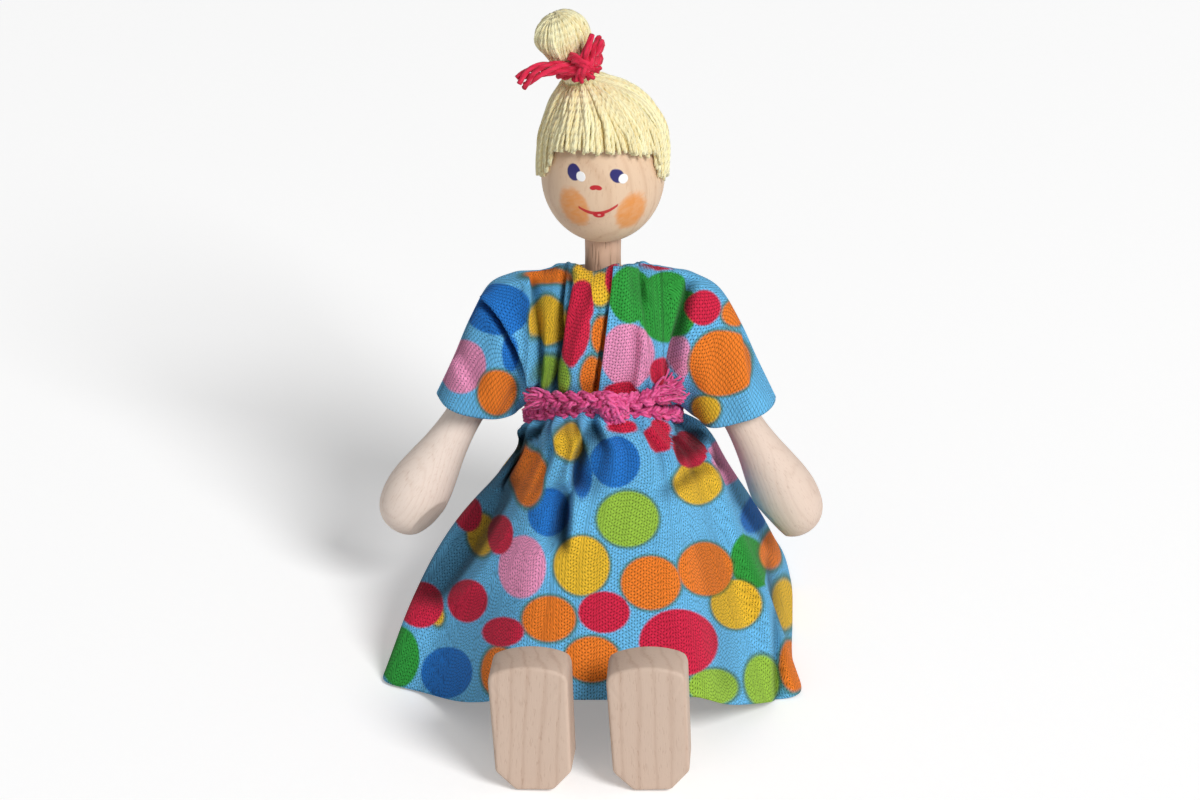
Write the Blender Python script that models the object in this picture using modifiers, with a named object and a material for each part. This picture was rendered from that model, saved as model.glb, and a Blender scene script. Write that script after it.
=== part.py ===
"""Small jointed wooden doll in a gathered cotton dress, sitting with its legs stretched forward.

Metres, +Z up, the doll faces -Y. Its own left side is +X. The origin is the middle of the flat seat.
"""

import math

import bmesh
import bpy
import numpy as np
from mathutils import Matrix, Vector

MM = 0.001

# Gaps and fits, in millimetres
GAP = 0.35
BORE_CLEARANCE = 0.3
FLOOR_GAP = 0.15

# Torso
TORSO_HEIGHT = 53.8
SHOULDER_RADIUS = 7.6
WAIST_RADIUS = 7.2
HIP_RADIUS = 8.0
PELVIS_HALF_WIDTH = 3.1
PELVIS_HEIGHT = 12.0
SHOULDER_BELOW_TOP = 5.5

# Neck and head
NECK_RADIUS = 2.65
NECK_SOCKET_DEPTH = 3.9
NECK_SHOWN = 5.7
NECK_IN_HEAD = 4.6
HEAD_RADIUS = 9.0
HEAD_BELOW = 10.1
HEAD_ABOVE = 12.6

# Hair
HAIR_SIDE = 0.9
HAIR_TOP = 3.1
HAIR_CROWN_SHIFT = 3.0
HAIR_FULL = 0.03
FRINGE_ABOVE_CENTRE = 7.7
LOCKS_BELOW_CENTRE = 0.6
NAPE_BELOW_CENTRE = 5.0
TOPKNOT_NECK_RADIUS = 2.5
TOPKNOT_RADIUS = 3.7
TOPKNOT_LENGTH = 9.6
TOPKNOT_LEAN = 24.0
TIE_RADIUS = 1.0
TIE_TAIL_REACH = 6.6
TIE_TAIL_RISE = 2.4
TIE_END_RISE = 4.2

# Arms
ARM_RADIUS = 2.6
ARM_CUFF_RADIUS = 2.65
HAND_RADIUS = 4.8
ARM_LENGTH = 41.3
ARM_SPLAY_LEFT = 28.5
ARM_SPLAY_RIGHT = 29.5
ARM_FORWARD = 3.0
PALM_DEPTH = 0.9
PALM_SLOPE = 11.0
PALM_FACING_LEFT = 20.0
PALM_FACING_RIGHT = 38.0

# Legs and feet
LEG_RADIUS = 3.6
LEG_LENGTH = 51.9
LEG_RIGHT_SPLAY = 2.6
TENON_RADIUS = 2.0
TENON_LENGTH = 3.9
FOOT_WIDTH = 11.4
FOOT_HEIGHT = 20.0
FOOT_THICKNESS = 6.8
FOOT_ARCH = 1.3
HEEL_CHAMFER = 3.0
FOOT_EDGE = 0.45
FOOT_TURN = 3.0
FOOT_LEAN = 3.0

# Elastic cords
CORD_RADIUS = 0.6
CORD_KNOT_RADIUS = 1.4

# Dress and belt
CLOTH = 0.6
WAIST_BELOW_SHOULDER = 11.5
WAIST_DROP = 6.0
WAIST_WIDE = 9.2
WAIST_DEEP = 8.0
CHEST_WIDE = 9.4
CHEST_DEEP = 9.3
NECKLINE_WIDE = 5.3
NECKLINE_DEEP = 4.9
ARMHOLE_RADIUS = 5.6
SLEEVE_REACH = 14.6
SLEEVE_DROP = 13.2
SLEEVE_RADIUS = 5.7
BELT_RADIUS = 1.2
BELT_END_LENGTH = 10.0
SKIRT_SIDE = 26.5

# Places that follow from the sizes
SHOULDER_Z = TORSO_HEIGHT - SHOULDER_BELOW_TOP
WAIST_Z = SHOULDER_Z - WAIST_BELOW_SHOULDER
HIP_Z = LEG_RADIUS + FLOOR_GAP + 2.25
HIP_X = PELVIS_HALF_WIDTH + GAP + LEG_RADIUS
ARM_X = SHOULDER_RADIUS + GAP + ARM_RADIUS
HEAD_Z = TORSO_HEIGHT + NECK_SHOWN + HEAD_BELOW
LEG_TOP_Z = HIP_Z + LEG_RADIUS
FOOT_BACK = LEG_LENGTH + GAP
SLEEVE_X = CHEST_WIDE + CLOTH / 2 + GAP
CAP_TOP_Z = HEAD_Z + HEAD_ABOVE + HAIR_TOP
STEPS = 24


def clear_scene():
    """Removes the startup objects and makes the two collections."""
    for found in list(bpy.data.objects):
        bpy.data.objects.remove(found, do_unlink=True)
    kept = bpy.data.collections.new("sitting_wooden_doll")
    cutters = bpy.data.collections.new("cutters")
    cutters.hide_render = True
    for collection in (kept, cutters):
        bpy.context.scene.collection.children.link(collection)
    return kept, cutters


PARTS, CUTTERS = clear_scene()


def material(name, colour, roughness):
    """A Principled material of one colour."""
    made = bpy.data.materials.new(name)
    made.use_nodes = True
    shader = made.node_tree.nodes["Principled BSDF"]
    shader.inputs["Base Color"].default_value = (*colour, 1.0)
    shader.inputs["Roughness"].default_value = roughness
    shader.inputs["Metallic"].default_value = 0.0
    return made


MAPLE = material("pale_maple", (0.71, 0.56, 0.44), 0.55)
BEECH = material("pink_beech", (0.52, 0.32, 0.22), 0.6)
YARN = material("straw_yarn", (0.83, 0.74, 0.42), 0.9)
RED_YARN = material("red_yarn", (0.66, 0.02, 0.04), 0.9)
ELASTIC = material("white_elastic", (0.75, 0.74, 0.70), 0.8)
COTTON = material("blue_cotton", (0.12, 0.42, 0.70), 0.85)
MAGENTA = material("magenta_cord", (0.55, 0.05, 0.23), 0.9)


def add_object(name, data, surface, collection=None):
    made = bpy.data.objects.new(name, data)
    (collection or PARTS).objects.link(made)
    if surface:
        data.materials.append(surface)
    return made


def mesh_of(name, points, faces):
    """A mesh from points in millimetres."""
    data = bpy.data.meshes.new(name)
    data.from_pydata([tuple(point) for point in np.asarray(points) * MM], [], faces)
    data.validate()
    return data


def baked(made):
    """Replaces the object's modifiers by the mesh they give."""
    bpy.context.view_layer.update()
    seen = made.evaluated_get(bpy.context.evaluated_depsgraph_get())
    data = bpy.data.meshes.new_from_object(seen)
    work = bmesh.new()
    work.from_mesh(data)
    bmesh.ops.remove_doubles(work, verts=work.verts, dist=1e-6)
    bmesh.ops.recalc_face_normals(work, faces=work.faces)
    work.to_mesh(data)
    work.free()
    if made.type == "MESH":
        made.modifiers.clear()
        made.data = data
        return made
    name, home = made.name, made.users_collection[0]
    bpy.data.objects.remove(made, do_unlink=True)
    return add_object(name, data, None, home)


def turned(name, profile, surface, collection=None, steps=STEPS):
    """A turned solid: profile points (radius, height) run from top to bottom round the Z axis."""
    points = [(radius, 0.0, height) for radius, height in profile]
    data = mesh_of(name, points, [])
    data.edges.add(len(points) - 1)
    for index, edge in enumerate(data.edges):
        edge.vertices = (index, index + 1)
    made = add_object(name, data, surface, collection)
    screw = made.modifiers.new("turn", "SCREW")
    screw.angle = math.tau
    screw.steps = steps
    screw.render_steps = steps
    screw.use_merge_vertices = True
    screw.merge_threshold = 0.00001
    return baked(made)


def moved(made, matrix):
    made.data.transform(matrix)
    return made


def with_origin(made, place):
    """Puts the object's origin on its joint without moving the shape."""
    shift = Vector(place) * MM
    made.data.transform(Matrix.Translation(-shift))
    made.location = shift
    return made


def cut(made, cutter):
    boolean = made.modifiers.new("cut", "BOOLEAN")
    boolean.operation = "DIFFERENCE"
    boolean.solver = "EXACT"
    boolean.object = cutter
    return made


def rod(name, radius, start, end, steps=20):
    """A straight cylinder used as a cutter."""
    start, end = Vector(start) * MM, Vector(end) * MM
    length = (end - start).length / MM
    made = turned(name, [(0, length), (radius, length), (radius, 0), (0, 0)], None, CUTTERS, steps)
    turn = (end - start).to_track_quat("Z", "Y").to_matrix().to_4x4()
    moved(made, Matrix.Translation(start) @ turn)
    made.display_type = "WIRE"
    return made


def block(name, low, high, turn=None):
    """A box used as a cutter, from one corner to the other."""
    corners = [(x, y, z) for x in (low[0], high[0]) for y in (low[1], high[1]) for z in (low[2], high[2])]
    faces = [(0, 1, 3, 2), (4, 6, 7, 5), (0, 4, 5, 1), (2, 3, 7, 6), (0, 2, 6, 4), (1, 5, 7, 3)]
    made = add_object(name, mesh_of(name, corners, faces), None, CUTTERS)
    if turn:
        moved(made, turn)
    made.display_type = "WIRE"
    return baked(made)


def tube(name, points, radius, surface, order=2, sides=2):
    """A round cord along a smooth path, with filled ends."""
    curve = bpy.data.curves.new(name, "CURVE")
    curve.dimensions = "3D"
    curve.bevel_depth = radius * MM
    curve.bevel_resolution = sides
    curve.use_fill_caps = True
    curve.resolution_u = order
    spline = curve.splines.new("BEZIER")
    spline.bezier_points.add(len(points) - 1)
    for knot, point in zip(spline.bezier_points, points):
        knot.co = Vector(point) * MM
        knot.handle_left_type = "AUTO"
        knot.handle_right_type = "AUTO"
    return baked(add_object(name, curve, surface))


def rings_shell(name, rings, surface):
    """Open cloth through rings that run from the top down, thickened evenly to both sides."""
    rows, count = rings.shape[:2]
    faces = []
    for row in range(rows - 1):
        for step in range(count):
            after = (step + 1) % count
            faces.append((row * count + step, (row + 1) * count + step,
                          (row + 1) * count + after, row * count + after))
    made = add_object(name, mesh_of(name, rings.reshape(-1, 3), faces), surface)
    solidify = made.modifiers.new("cloth", "SOLIDIFY")
    solidify.thickness = CLOTH * MM
    solidify.offset = 0.0
    solidify.use_even_offset = True
    return made


def smooth_table(places, values, at):
    """Values read off a table, with a smooth step from each place to the next."""
    places, values, at = (np.asarray(part, float) for part in (places, values, at))
    span = np.clip(np.searchsorted(places, at, "right") - 1, 0, len(places) - 2)
    part = (at - places[span]) / (places[span + 1] - places[span])
    part = np.clip(part, 0, 1)
    part = part * part * (3 - 2 * part)
    return values[span] * (1 - part) + values[span + 1] * part


# Wooden body
def build_torso():
    top = TORSO_HEIGHT
    profile = [
        (0, top), (NECK_RADIUS + 1.0, top), (NECK_RADIUS + 1.5, top - 1.4),
        (SHOULDER_RADIUS * 0.72, top - 2.4), (SHOULDER_RADIUS * 0.93, top - 4.0),
        (SHOULDER_RADIUS, SHOULDER_Z + 0.4),
        (SHOULDER_RADIUS, SHOULDER_Z - 4), (WAIST_RADIUS, WAIST_Z + 1), (WAIST_RADIUS, WAIST_Z - 8),
        (HIP_RADIUS, PELVIS_HEIGHT + 4), (HIP_RADIUS, 2.0), (HIP_RADIUS - 0.8, 0), (0, 0),
    ]
    torso = turned("torso", profile, MAPLE)
    reach = HIP_RADIUS + 2
    for side in (-1, 1):
        near, far = sorted((side * PELVIS_HALF_WIDTH, side * reach))
        cut(torso, block(f"pelvis_cut_{side}", (near, -reach, -1), (far, reach, PELVIS_HEIGHT)))
    bore = CORD_RADIUS + BORE_CLEARANCE
    cut(torso, rod("hip_bore", bore, (-reach, 0, HIP_Z), (reach, 0, HIP_Z), 12))
    cut(torso, rod("shoulder_bore", bore, (-reach, 0, SHOULDER_Z), (reach, 0, SHOULDER_Z), 12))
    floor = top - NECK_SOCKET_DEPTH
    cut(torso, rod("neck_bore", NECK_RADIUS + BORE_CLEARANCE, (0, 0, floor), (0, 0, top + 3)))
    return torso


def build_head():
    angles = np.radians(np.arange(0, 181, 12))
    profile = []
    for angle in angles:
        tall = HEAD_ABOVE if angle < math.pi / 2 else HEAD_BELOW
        profile.append((HEAD_RADIUS * math.sin(angle), HEAD_Z + tall * math.cos(angle)))
    profile[0] = (0, profile[0][1])
    profile[-1] = (0, profile[-1][1])
    head = turned("head", profile, MAPLE, steps=32)
    bottom = HEAD_Z - HEAD_BELOW
    bore = NECK_RADIUS + BORE_CLEARANCE
    cut(head, rod("head_bore", bore, (0, 0, bottom - 3), (0, 0, bottom + NECK_IN_HEAD)))
    foot, peg_top = TORSO_HEIGHT - NECK_SOCKET_DEPTH + GAP, bottom + NECK_IN_HEAD - GAP
    neck = turned("neck_peg", [(0, peg_top), (NECK_RADIUS, peg_top), (NECK_RADIUS, foot), (0, foot)], BEECH)
    for piece in (head, neck):
        with_origin(piece, (0, 0, TORSO_HEIGHT))


# Hair
def cap_edge(angle):
    """Height of the hair's lower edge at an angle from the front: fringe, side locks, nape."""
    away = np.abs((np.degrees(angle) + 180) % 360 - 180)
    heights = (FRINGE_ABOVE_CENTRE, FRINGE_ABOVE_CENTRE, -LOCKS_BELOW_CENTRE,
               -LOCKS_BELOW_CENTRE - 0.6, -NAPE_BELOW_CENTRE, -NAPE_BELOW_CENTRE)
    return smooth_table((0, 48, 68, 100, 135, 180), heights, away)


def build_hair_cap():
    count, rows = 40, 8
    angles = np.arange(count) * math.tau / count
    edge = cap_edge(angles)
    layers = []
    for extra_side, extra_top, ripple in ((HAIR_SIDE, HAIR_TOP, 0.22), (GAP, GAP, 0.0)):
        wide, above, below = HEAD_RADIUS + extra_side, HEAD_ABOVE + extra_top, HEAD_BELOW + extra_side
        edge_turn = np.arccos(np.clip(edge / np.where(edge > 0, above, below), -1, 1))
        layer = []
        for row in range(1, rows + 1):
            turn = edge_turn * row / rows
            tall = np.where(turn < math.pi / 2, above, below)
            lobes = ripple * np.cos(20 * angles) * min(1.0, row / 4)
            full = np.where(turn < math.pi / 2, 1 + HAIR_FULL * np.sin(2 * turn) ** 2, 1.0)
            radius = wide * np.sin(turn) * full ** (extra_top > GAP) + lobes
            height = tall * np.cos(turn)
            lean = -HAIR_CROWN_SHIFT * np.clip(height / above, 0, 1) ** 6 * (extra_top > GAP)
            layer.append(np.stack([radius * np.sin(angles) + lean, -radius * np.cos(angles),
                                   HEAD_Z + height], axis=1))
        apex = [-HAIR_CROWN_SHIFT * (extra_top > GAP), 0, HEAD_Z + above]
        layers.append((np.array(layer), apex))
    outer, inner = layers
    points = [outer[1], *outer[0].reshape(-1, 3), inner[1], *inner[0].reshape(-1, 3)]
    base = 1 + rows * count
    faces = []
    for step in range(count):
        after = (step + 1) % count
        faces.append((0, 1 + step, 1 + after))
        faces.append((base, base + 1 + after, base + 1 + step))
        for row in range(rows - 1):
            low, high = 1 + (row + 1) * count, 1 + row * count
            faces.append((high + step, low + step, low + after, high + after))
            faces.append((base + high + after, base + low + after, base + low + step, base + high + step))
        last = 1 + (rows - 1) * count
        faces.append((last + step, base + last + step, base + last + after, last + after))
    cap = add_object("hair_cap", mesh_of("hair_cap", points, faces), YARN)
    return with_origin(baked(cap), (0, 0, TORSO_HEIGHT))


def topknot_frame():
    """Where the topknot stands and which way it leans."""
    base = Vector((-HAIR_CROWN_SHIFT, 0, CAP_TOP_Z + GAP)) * MM
    return Matrix.Translation(base) @ Matrix.Rotation(math.radians(-TOPKNOT_LEAN), 4, "Y")


def build_topknot():
    neck, full, length = TOPKNOT_NECK_RADIUS, TOPKNOT_RADIUS, TOPKNOT_LENGTH
    profile = [
        (0, length), (full * 0.55, length * 0.96), (full * 0.86, length * 0.86), (full, length * 0.70),
        (full * 0.96, length * 0.56), (full * 0.78, length * 0.44), (neck, length * 0.35),
        (neck, length * 0.08), (neck * 0.8, 0.35), (0, 0.35),
    ]
    knot = moved(turned("hair_topknot", profile, YARN, steps=24), topknot_frame())
    with_origin(knot, (0, 0, TORSO_HEIGHT))
    loop = TOPKNOT_NECK_RADIUS + GAP + TIE_RADIUS
    low = TOPKNOT_LENGTH * 0.2
    path = [(-loop - TIE_TAIL_REACH, -loop * 1.17, low + TIE_TAIL_RISE),
            (-loop - TIE_TAIL_REACH * 0.45, -loop * 1.26, low + TIE_TAIL_RISE * 0.67),
            (-loop * 0.6, -loop * 1.15, low - TIE_RADIUS / 2)]
    for step in range(1, 9):
        angle = math.radians(-110 + 42 * step)
        rise = TIE_RADIUS * (0.14 * step - 0.5)
        path.append((loop * math.cos(angle), loop * math.sin(angle), low + rise))
    path.append((loop * 0.75, -loop * 1.25, low + TIE_END_RISE * 0.45))
    path.append((loop * 0.95, -loop * 1.3, low + TIE_END_RISE))
    tie = moved(tube("hair_tie", path, TIE_RADIUS, RED_YARN), topknot_frame())
    with_origin(tie, (0, 0, TORSO_HEIGHT))
    size = TIE_RADIUS * 1.5
    front = loop + TIE_RADIUS + GAP + size * 0.8
    profile = [(size * math.sin(a), size * math.cos(a)) for a in np.radians(np.arange(0, 181, 30))]
    bead = turned("hair_tie_knot", profile, RED_YARN, steps=14)
    moved(bead, Matrix.Diagonal((1.1, 0.8, 1.0, 1.0)))
    moved(bead, topknot_frame() @ Matrix.Translation(Vector((-0.2, -front, low - 0.2)) * MM))
    with_origin(bead, (0, 0, TORSO_HEIGHT))


# Arms, legs and feet
def build_arm(side):
    """side is +1 for the doll's left arm, -1 for its right arm."""
    name = "left_arm" if side > 0 else "right_arm"
    thin, full, length = ARM_RADIUS, HAND_RADIUS, ARM_LENGTH
    profile = [(0, thin), (thin * 0.5, thin * 0.866), (thin * 0.866, thin * 0.5), (thin, 0),
               (thin, -0.15 * length), (ARM_CUFF_RADIUS, -0.45 * length),
               (ARM_CUFF_RADIUS * 1.05, -0.53 * length), (full * 0.69, -0.63 * length),
               (full * 0.85, -0.72 * length), (full * 0.97, -0.79 * length), (full, -0.845 * length),
               (full * 0.97, -0.89 * length), (full * 0.86, -0.94 * length), (full * 0.66, -0.975 * length),
               (full * 0.4, -0.995 * length), (0, -length)]
    arm = turned(name, profile, MAPLE)
    forward = Matrix.Rotation(math.radians(-ARM_FORWARD), 4, "X")
    splay = ARM_SPLAY_LEFT if side > 0 else ARM_SPLAY_RIGHT
    lean = forward @ Matrix.Rotation(math.radians(-side * splay), 4, "Y")
    place = Matrix.Translation(Vector((side * ARM_X, 0, SHOULDER_Z)) * MM) @ lean
    moved(arm, place)
    face = HAND_RADIUS - PALM_DEPTH
    turn = PALM_FACING_LEFT if side > 0 else PALM_FACING_RIGHT
    facing = Matrix.Rotation(math.radians(side * turn), 4, "Z")
    slope = Matrix.Rotation(math.radians(-side * PALM_SLOPE), 4, "Y")
    middle = Matrix.Translation(Vector((0, 0, -0.88 * ARM_LENGTH)) * MM)
    near, far = sorted((-side * face, -side * (face + 9)))
    cut(arm, block(f"{name}_palm_cut", (near, -12, -12), (far, 12, 8), place @ middle @ facing @ slope))
    bore = CORD_RADIUS + BORE_CLEARANCE
    inner, outer = side * (ARM_X - ARM_RADIUS - 3), side * (ARM_X + ARM_RADIUS + 3)
    cut(arm, rod(f"{name}_bore", bore, (inner, 0, SHOULDER_Z), (outer, 0, SHOULDER_Z), 12))
    step = side * (ARM_X + ARM_RADIUS - 2 * CORD_KNOT_RADIUS + 0.6)
    wide = CORD_KNOT_RADIUS + BORE_CLEARANCE
    cut(arm, rod(f"{name}_step", wide, (step, 0, SHOULDER_Z), (outer, 0, SHOULDER_Z)))
    return with_origin(arm, (side * ARM_X, 0, SHOULDER_Z))


def leg_frame(side):
    """Takes a leg turned along +Z down to its place: hip at the pivot, pointing forward."""
    splay = LEG_RIGHT_SPLAY if side < 0 else 0.0
    yaw = Matrix.Rotation(math.radians(side * splay), 4, "Z")
    lay = Matrix.Rotation(math.radians(90), 4, "X")
    return Matrix.Translation(Vector((side * HIP_X, 0, HIP_Z)) * MM) @ yaw @ lay


def build_leg(side):
    name = "left_leg" if side > 0 else "right_leg"
    wide, length = LEG_RADIUS, LEG_LENGTH
    end = length + TENON_LENGTH
    profile = [(0, end), (TENON_RADIUS, end), (TENON_RADIUS, length), (wide - 0.4, length),
               (wide, length - 0.4), (wide, 0), (wide * 0.866, -wide * 0.5), (wide * 0.5, -wide * 0.866),
               (0, -wide)]
    leg = moved(turned(name, profile, MAPLE), leg_frame(side))
    bore = CORD_RADIUS + BORE_CLEARANCE
    inner, outer = side * (HIP_X - LEG_RADIUS - 3), side * (HIP_X + LEG_RADIUS + 3)
    cut(leg, rod(f"{name}_bore", bore, (inner, 0, HIP_Z), (outer, 0, HIP_Z), 12))
    step = side * (HIP_X + LEG_RADIUS - 2 * CORD_KNOT_RADIUS + 0.6)
    cut(leg, rod(f"{name}_step", CORD_KNOT_RADIUS + BORE_CLEARANCE, (step, 0, HIP_Z), (outer, 0, HIP_Z)))
    return with_origin(leg, (side * HIP_X, 0, HIP_Z))


def build_foot(side):
    name = "left_foot" if side > 0 else "right_foot"
    half, tall = FOOT_WIDTH / 2, FOOT_HEIGHT
    heel = half - HEEL_CHAMFER
    outline = [(heel, 0), (half * 0.96, HEEL_CHAMFER), (half, tall - FOOT_ARCH - 1.0),
               (half * 0.94, tall - FOOT_ARCH)]
    for across in (0.62, 0.3, 0.0):
        outline.append((half * across, tall - FOOT_ARCH * across ** 2))
    outline += [(-x, z) for x, z in outline[-2::-1]]
    points = [(x, 0, z) for x, z in outline] + [(x, -FOOT_THICKNESS, z) for x, z in outline]
    count = len(outline)
    faces = [tuple(range(count))[::-1], tuple(range(count, 2 * count))]
    faces += [(i, (i + 1) % count, count + (i + 1) % count, count + i) for i in range(count)]
    foot = add_object(name, mesh_of(name, points, faces), MAPLE)
    bevel = foot.modifiers.new("edge", "BEVEL")
    bevel.width = FOOT_EDGE * MM
    bevel.segments = 2
    bevel.limit_method = "ANGLE"
    bevel.angle_limit = math.radians(40)
    baked(foot)
    splay = LEG_RIGHT_SPLAY if side < 0 else 0.0
    hip = Matrix.Translation(Vector((side * HIP_X, 0, HIP_Z)) * MM)
    yaw = Matrix.Rotation(math.radians(side * splay), 4, "Z")
    out = Matrix.Translation(Vector((0, -FOOT_BACK, 0)) * MM)
    turn = Matrix.Rotation(math.radians(-FOOT_TURN), 4, "Z")
    lean = turn @ Matrix.Rotation(math.radians(-FOOT_LEAN), 4, "Y")
    drop = FOOT_EDGE + FOOT_WIDTH * 0.25 * math.sin(math.radians(FOOT_LEAN))
    down = Matrix.Translation(Vector((0, 0, FLOOR_GAP + drop - FOOT_EDGE - HIP_Z)) * MM)
    moved(foot, hip @ yaw @ out @ lean @ down)
    axis = hip @ yaw
    start = axis @ (Vector((0, -FOOT_BACK + 3, 0)) * MM) / MM
    end = axis @ (Vector((0, -LEG_LENGTH - TENON_LENGTH - GAP, 0)) * MM) / MM
    cut(foot, rod(f"{name}_mortise", TENON_RADIUS + BORE_CLEARANCE + 0.1, start, end))
    return with_origin(foot, (side * HIP_X, 0, HIP_Z))


def build_cord(name, reach, height):
    """An elastic cord across the body with a round knot at each end."""
    ball = CORD_KNOT_RADIUS
    arc = [(ball * math.sin(a), ball * math.cos(a)) for a in np.radians((0, 35, 70, 105, 135))]
    centre = reach - ball
    top = [(radius, centre + along) for radius, along in arc]
    foot = math.sqrt(ball ** 2 - CORD_RADIUS ** 2)
    profile = top + [(CORD_RADIUS, centre - foot), (CORD_RADIUS, -centre + foot)]
    profile += [(radius, -along) for radius, along in top[::-1]]
    cord = turned(name, profile, ELASTIC, steps=12)
    return moved(cord, Matrix.Translation((0, 0, height * MM)) @ Matrix.Rotation(math.radians(90), 4, "Y"))


# Dress
def oval(angles, wide, deep, power=2.0):
    """Points of an oval that is squarer as the power grows; angle 0 is the front."""
    across, along = np.sin(angles), -np.cos(angles)
    size = (np.abs(across) ** power + np.abs(along) ** power) ** (-1 / power)
    return wide * across * size, deep * along * size


def waist_drop(angles):
    """The waist line is highest in front and runs down to the sides, from where it stays level."""
    return WAIST_DROP * (1 - np.clip(np.cos(angles), 0, 1))


def build_bodice():
    count = 40
    angles = np.arange(count) * math.tau / count
    top = TORSO_HEIGHT
    levels = [
        (top + 1.9, 0.42, NECKLINE_WIDE + 0.4, NECKLINE_DEEP + 0.4, 2.0, 0.35),
        (top + 0.8, 0.42, NECKLINE_WIDE, NECKLINE_DEEP, 2.0, 0.25),
        (top + 0.6, 0.42, CHEST_WIDE * 0.76, CHEST_DEEP * 0.64, 2.2, 0.25),
        (top + 0.0, 0.34, CHEST_WIDE * 0.96, CHEST_DEEP * 0.80, 2.5, 0.25),
        (top - 2.0, 0.20, CHEST_WIDE, CHEST_DEEP * 0.92, 2.7, 0.25),
        (SHOULDER_Z, 0.05, CHEST_WIDE, CHEST_DEEP * 0.98, 2.8, 0.20),
        (SHOULDER_Z - 4.5, 0.0, CHEST_WIDE, CHEST_DEEP, 2.8, 0.20),
        (WAIST_Z + 2.4, 0.0, WAIST_WIDE, WAIST_DEEP + 0.6, 2.4, 0.25),
        (WAIST_Z + GAP / 2, 0.0, WAIST_WIDE, WAIST_DEEP, 2.0, 0.25),
    ]
    rings = []
    for height, fall, wide, deep, power, ripple in levels:
        x, y = oval(angles, wide, deep, power)
        z = height - fall * y - waist_drop(angles) * (height < WAIST_Z + 3)
        rings.append(np.stack([x, y * (1 + ripple * np.cos(10 * angles + 0.6) / CHEST_WIDE), z], axis=1))
    bodice = rings_shell("bodice", np.array(rings), COTTON)
    for side in (-1, 1):
        near, far = side * (CHEST_WIDE - 2.2), side * (CHEST_WIDE + 4)
        cut(bodice, rod(f"armhole_{side}", ARMHOLE_RADIUS, (near, 0, SHOULDER_Z), (far, 0, SHOULDER_Z)))
    return bodice


def build_sleeve(side):
    name = "left_sleeve" if side > 0 else "right_sleeve"
    count = 20
    angles = np.arange(count) * math.tau / count
    steps = np.array([0.0, 0.17, 0.38, 0.6, 0.8, 1.0])
    shift = 0.9 if side > 0 else 0.0
    half = SLEEVE_RADIUS + 0.3
    out = np.array([0.0, 0.23, 0.46, 0.66, 0.84, 1.0])
    top_x = SLEEVE_X + SLEEVE_REACH * out + shift * steps
    down = np.array([0.0, 0.07, 0.20, 0.42, 0.70, 1.0])
    top_z = SHOULDER_Z + half - (SLEEVE_DROP + half) * down - shift * steps
    under = np.array([0.0, 0.20, 0.58, 0.85, 0.95, 1.0])
    low_x = SLEEVE_X + SLEEVE_REACH * 0.23 * under + 2 * shift * steps ** 3
    fall = np.array([0.0, 0.18, 0.40, 0.62, 0.82, 1.0])
    low_z = SHOULDER_Z - half - (SLEEVE_DROP - 2.6) * fall - 1.5 * shift * steps
    rings = []
    for index, step in enumerate(steps):
        middle = np.array([top_x[index] + low_x[index], 0, top_z[index] + low_z[index]]) / 2
        up = np.array([top_x[index] - low_x[index], 0, top_z[index] - low_z[index]]) / 2
        middle[1] = -0.9 * step
        deep = np.array([0, SLEEVE_RADIUS + 0.1, 0])
        ring = middle + np.outer(np.cos(angles), up) - np.outer(np.sin(angles), deep)
        rings.append(ring * (side, 1, 1))
    rings = np.array(rings)
    if side < 0:
        rings = rings[:, ::-1]
    sleeve = rings_shell(name, rings, COTTON)
    return with_origin(sleeve, (side * ARM_X, 0, SHOULDER_Z))


def hem_points():
    """Hem corners round the skirt from the front, as (across, along, lift over the legs, waist angle)."""
    reach = FOOT_BACK - GAP - CLOTH - 1.2
    side = SKIRT_SIDE
    return np.array([
        (0.00 * side, -1.000 * reach, 1.00, 0), (0.30 * side, -0.996 * reach, 1.00, 12.5),
        (0.50 * side, -0.975 * reach, 0.97, 25), (0.68 * side, -0.895 * reach, 0.62, 37.5),
        (0.83 * side, -0.770 * reach, 0.26, 50), (0.95 * side, -0.670 * reach, 0.02, 62.5),
        (1.09 * side, -0.610 * reach, 0.00, 75), (1.06 * side, -0.400 * reach, 0.00, 90),
        (1.06 * side, -0.160 * reach, 0.00, 105), (1.06 * side, 0.080 * reach, 0.00, 120),
        (1.01 * side, 0.320 * reach, 0.00, 135), (0.80 * side, 0.520 * reach, 0.00, 150),
        (0.34 * side, 0.600 * reach, 0.00, 165), (-0.08 * side, 0.610 * reach, 0.00, 180),
        (-0.45 * side, 0.570 * reach, 0.00, 197.5), (-0.62 * side, 0.400 * reach, 0.00, 215),
        (-0.77 * side, 0.160 * reach, 0.00, 232.5), (-0.89 * side, -0.080 * reach, 0.00, 250),
        (-1.04 * side, -0.300 * reach, 0.00, 267.5), (-1.215 * side, -0.540 * reach, 0.00, 285),
        (-1.00 * side, -0.620 * reach, 0.02, 297.5), (-0.81 * side, -0.760 * reach, 0.28, 310),
        (-0.655 * side, -0.895 * reach, 0.66, 322.5), (-0.505 * side, -0.978 * reach, 0.97, 335),
        (-0.26 * side, -0.997 * reach, 1.00, 347.5), (0.00 * side, -1.000 * reach, 1.00, 360),
    ])


def fold(angle, at, width):
    """One soft ridge across the cloth at an angle in degrees."""
    away = (angle - at + 180) % 360 - 180
    return np.exp(-(away / width) ** 2)


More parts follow.
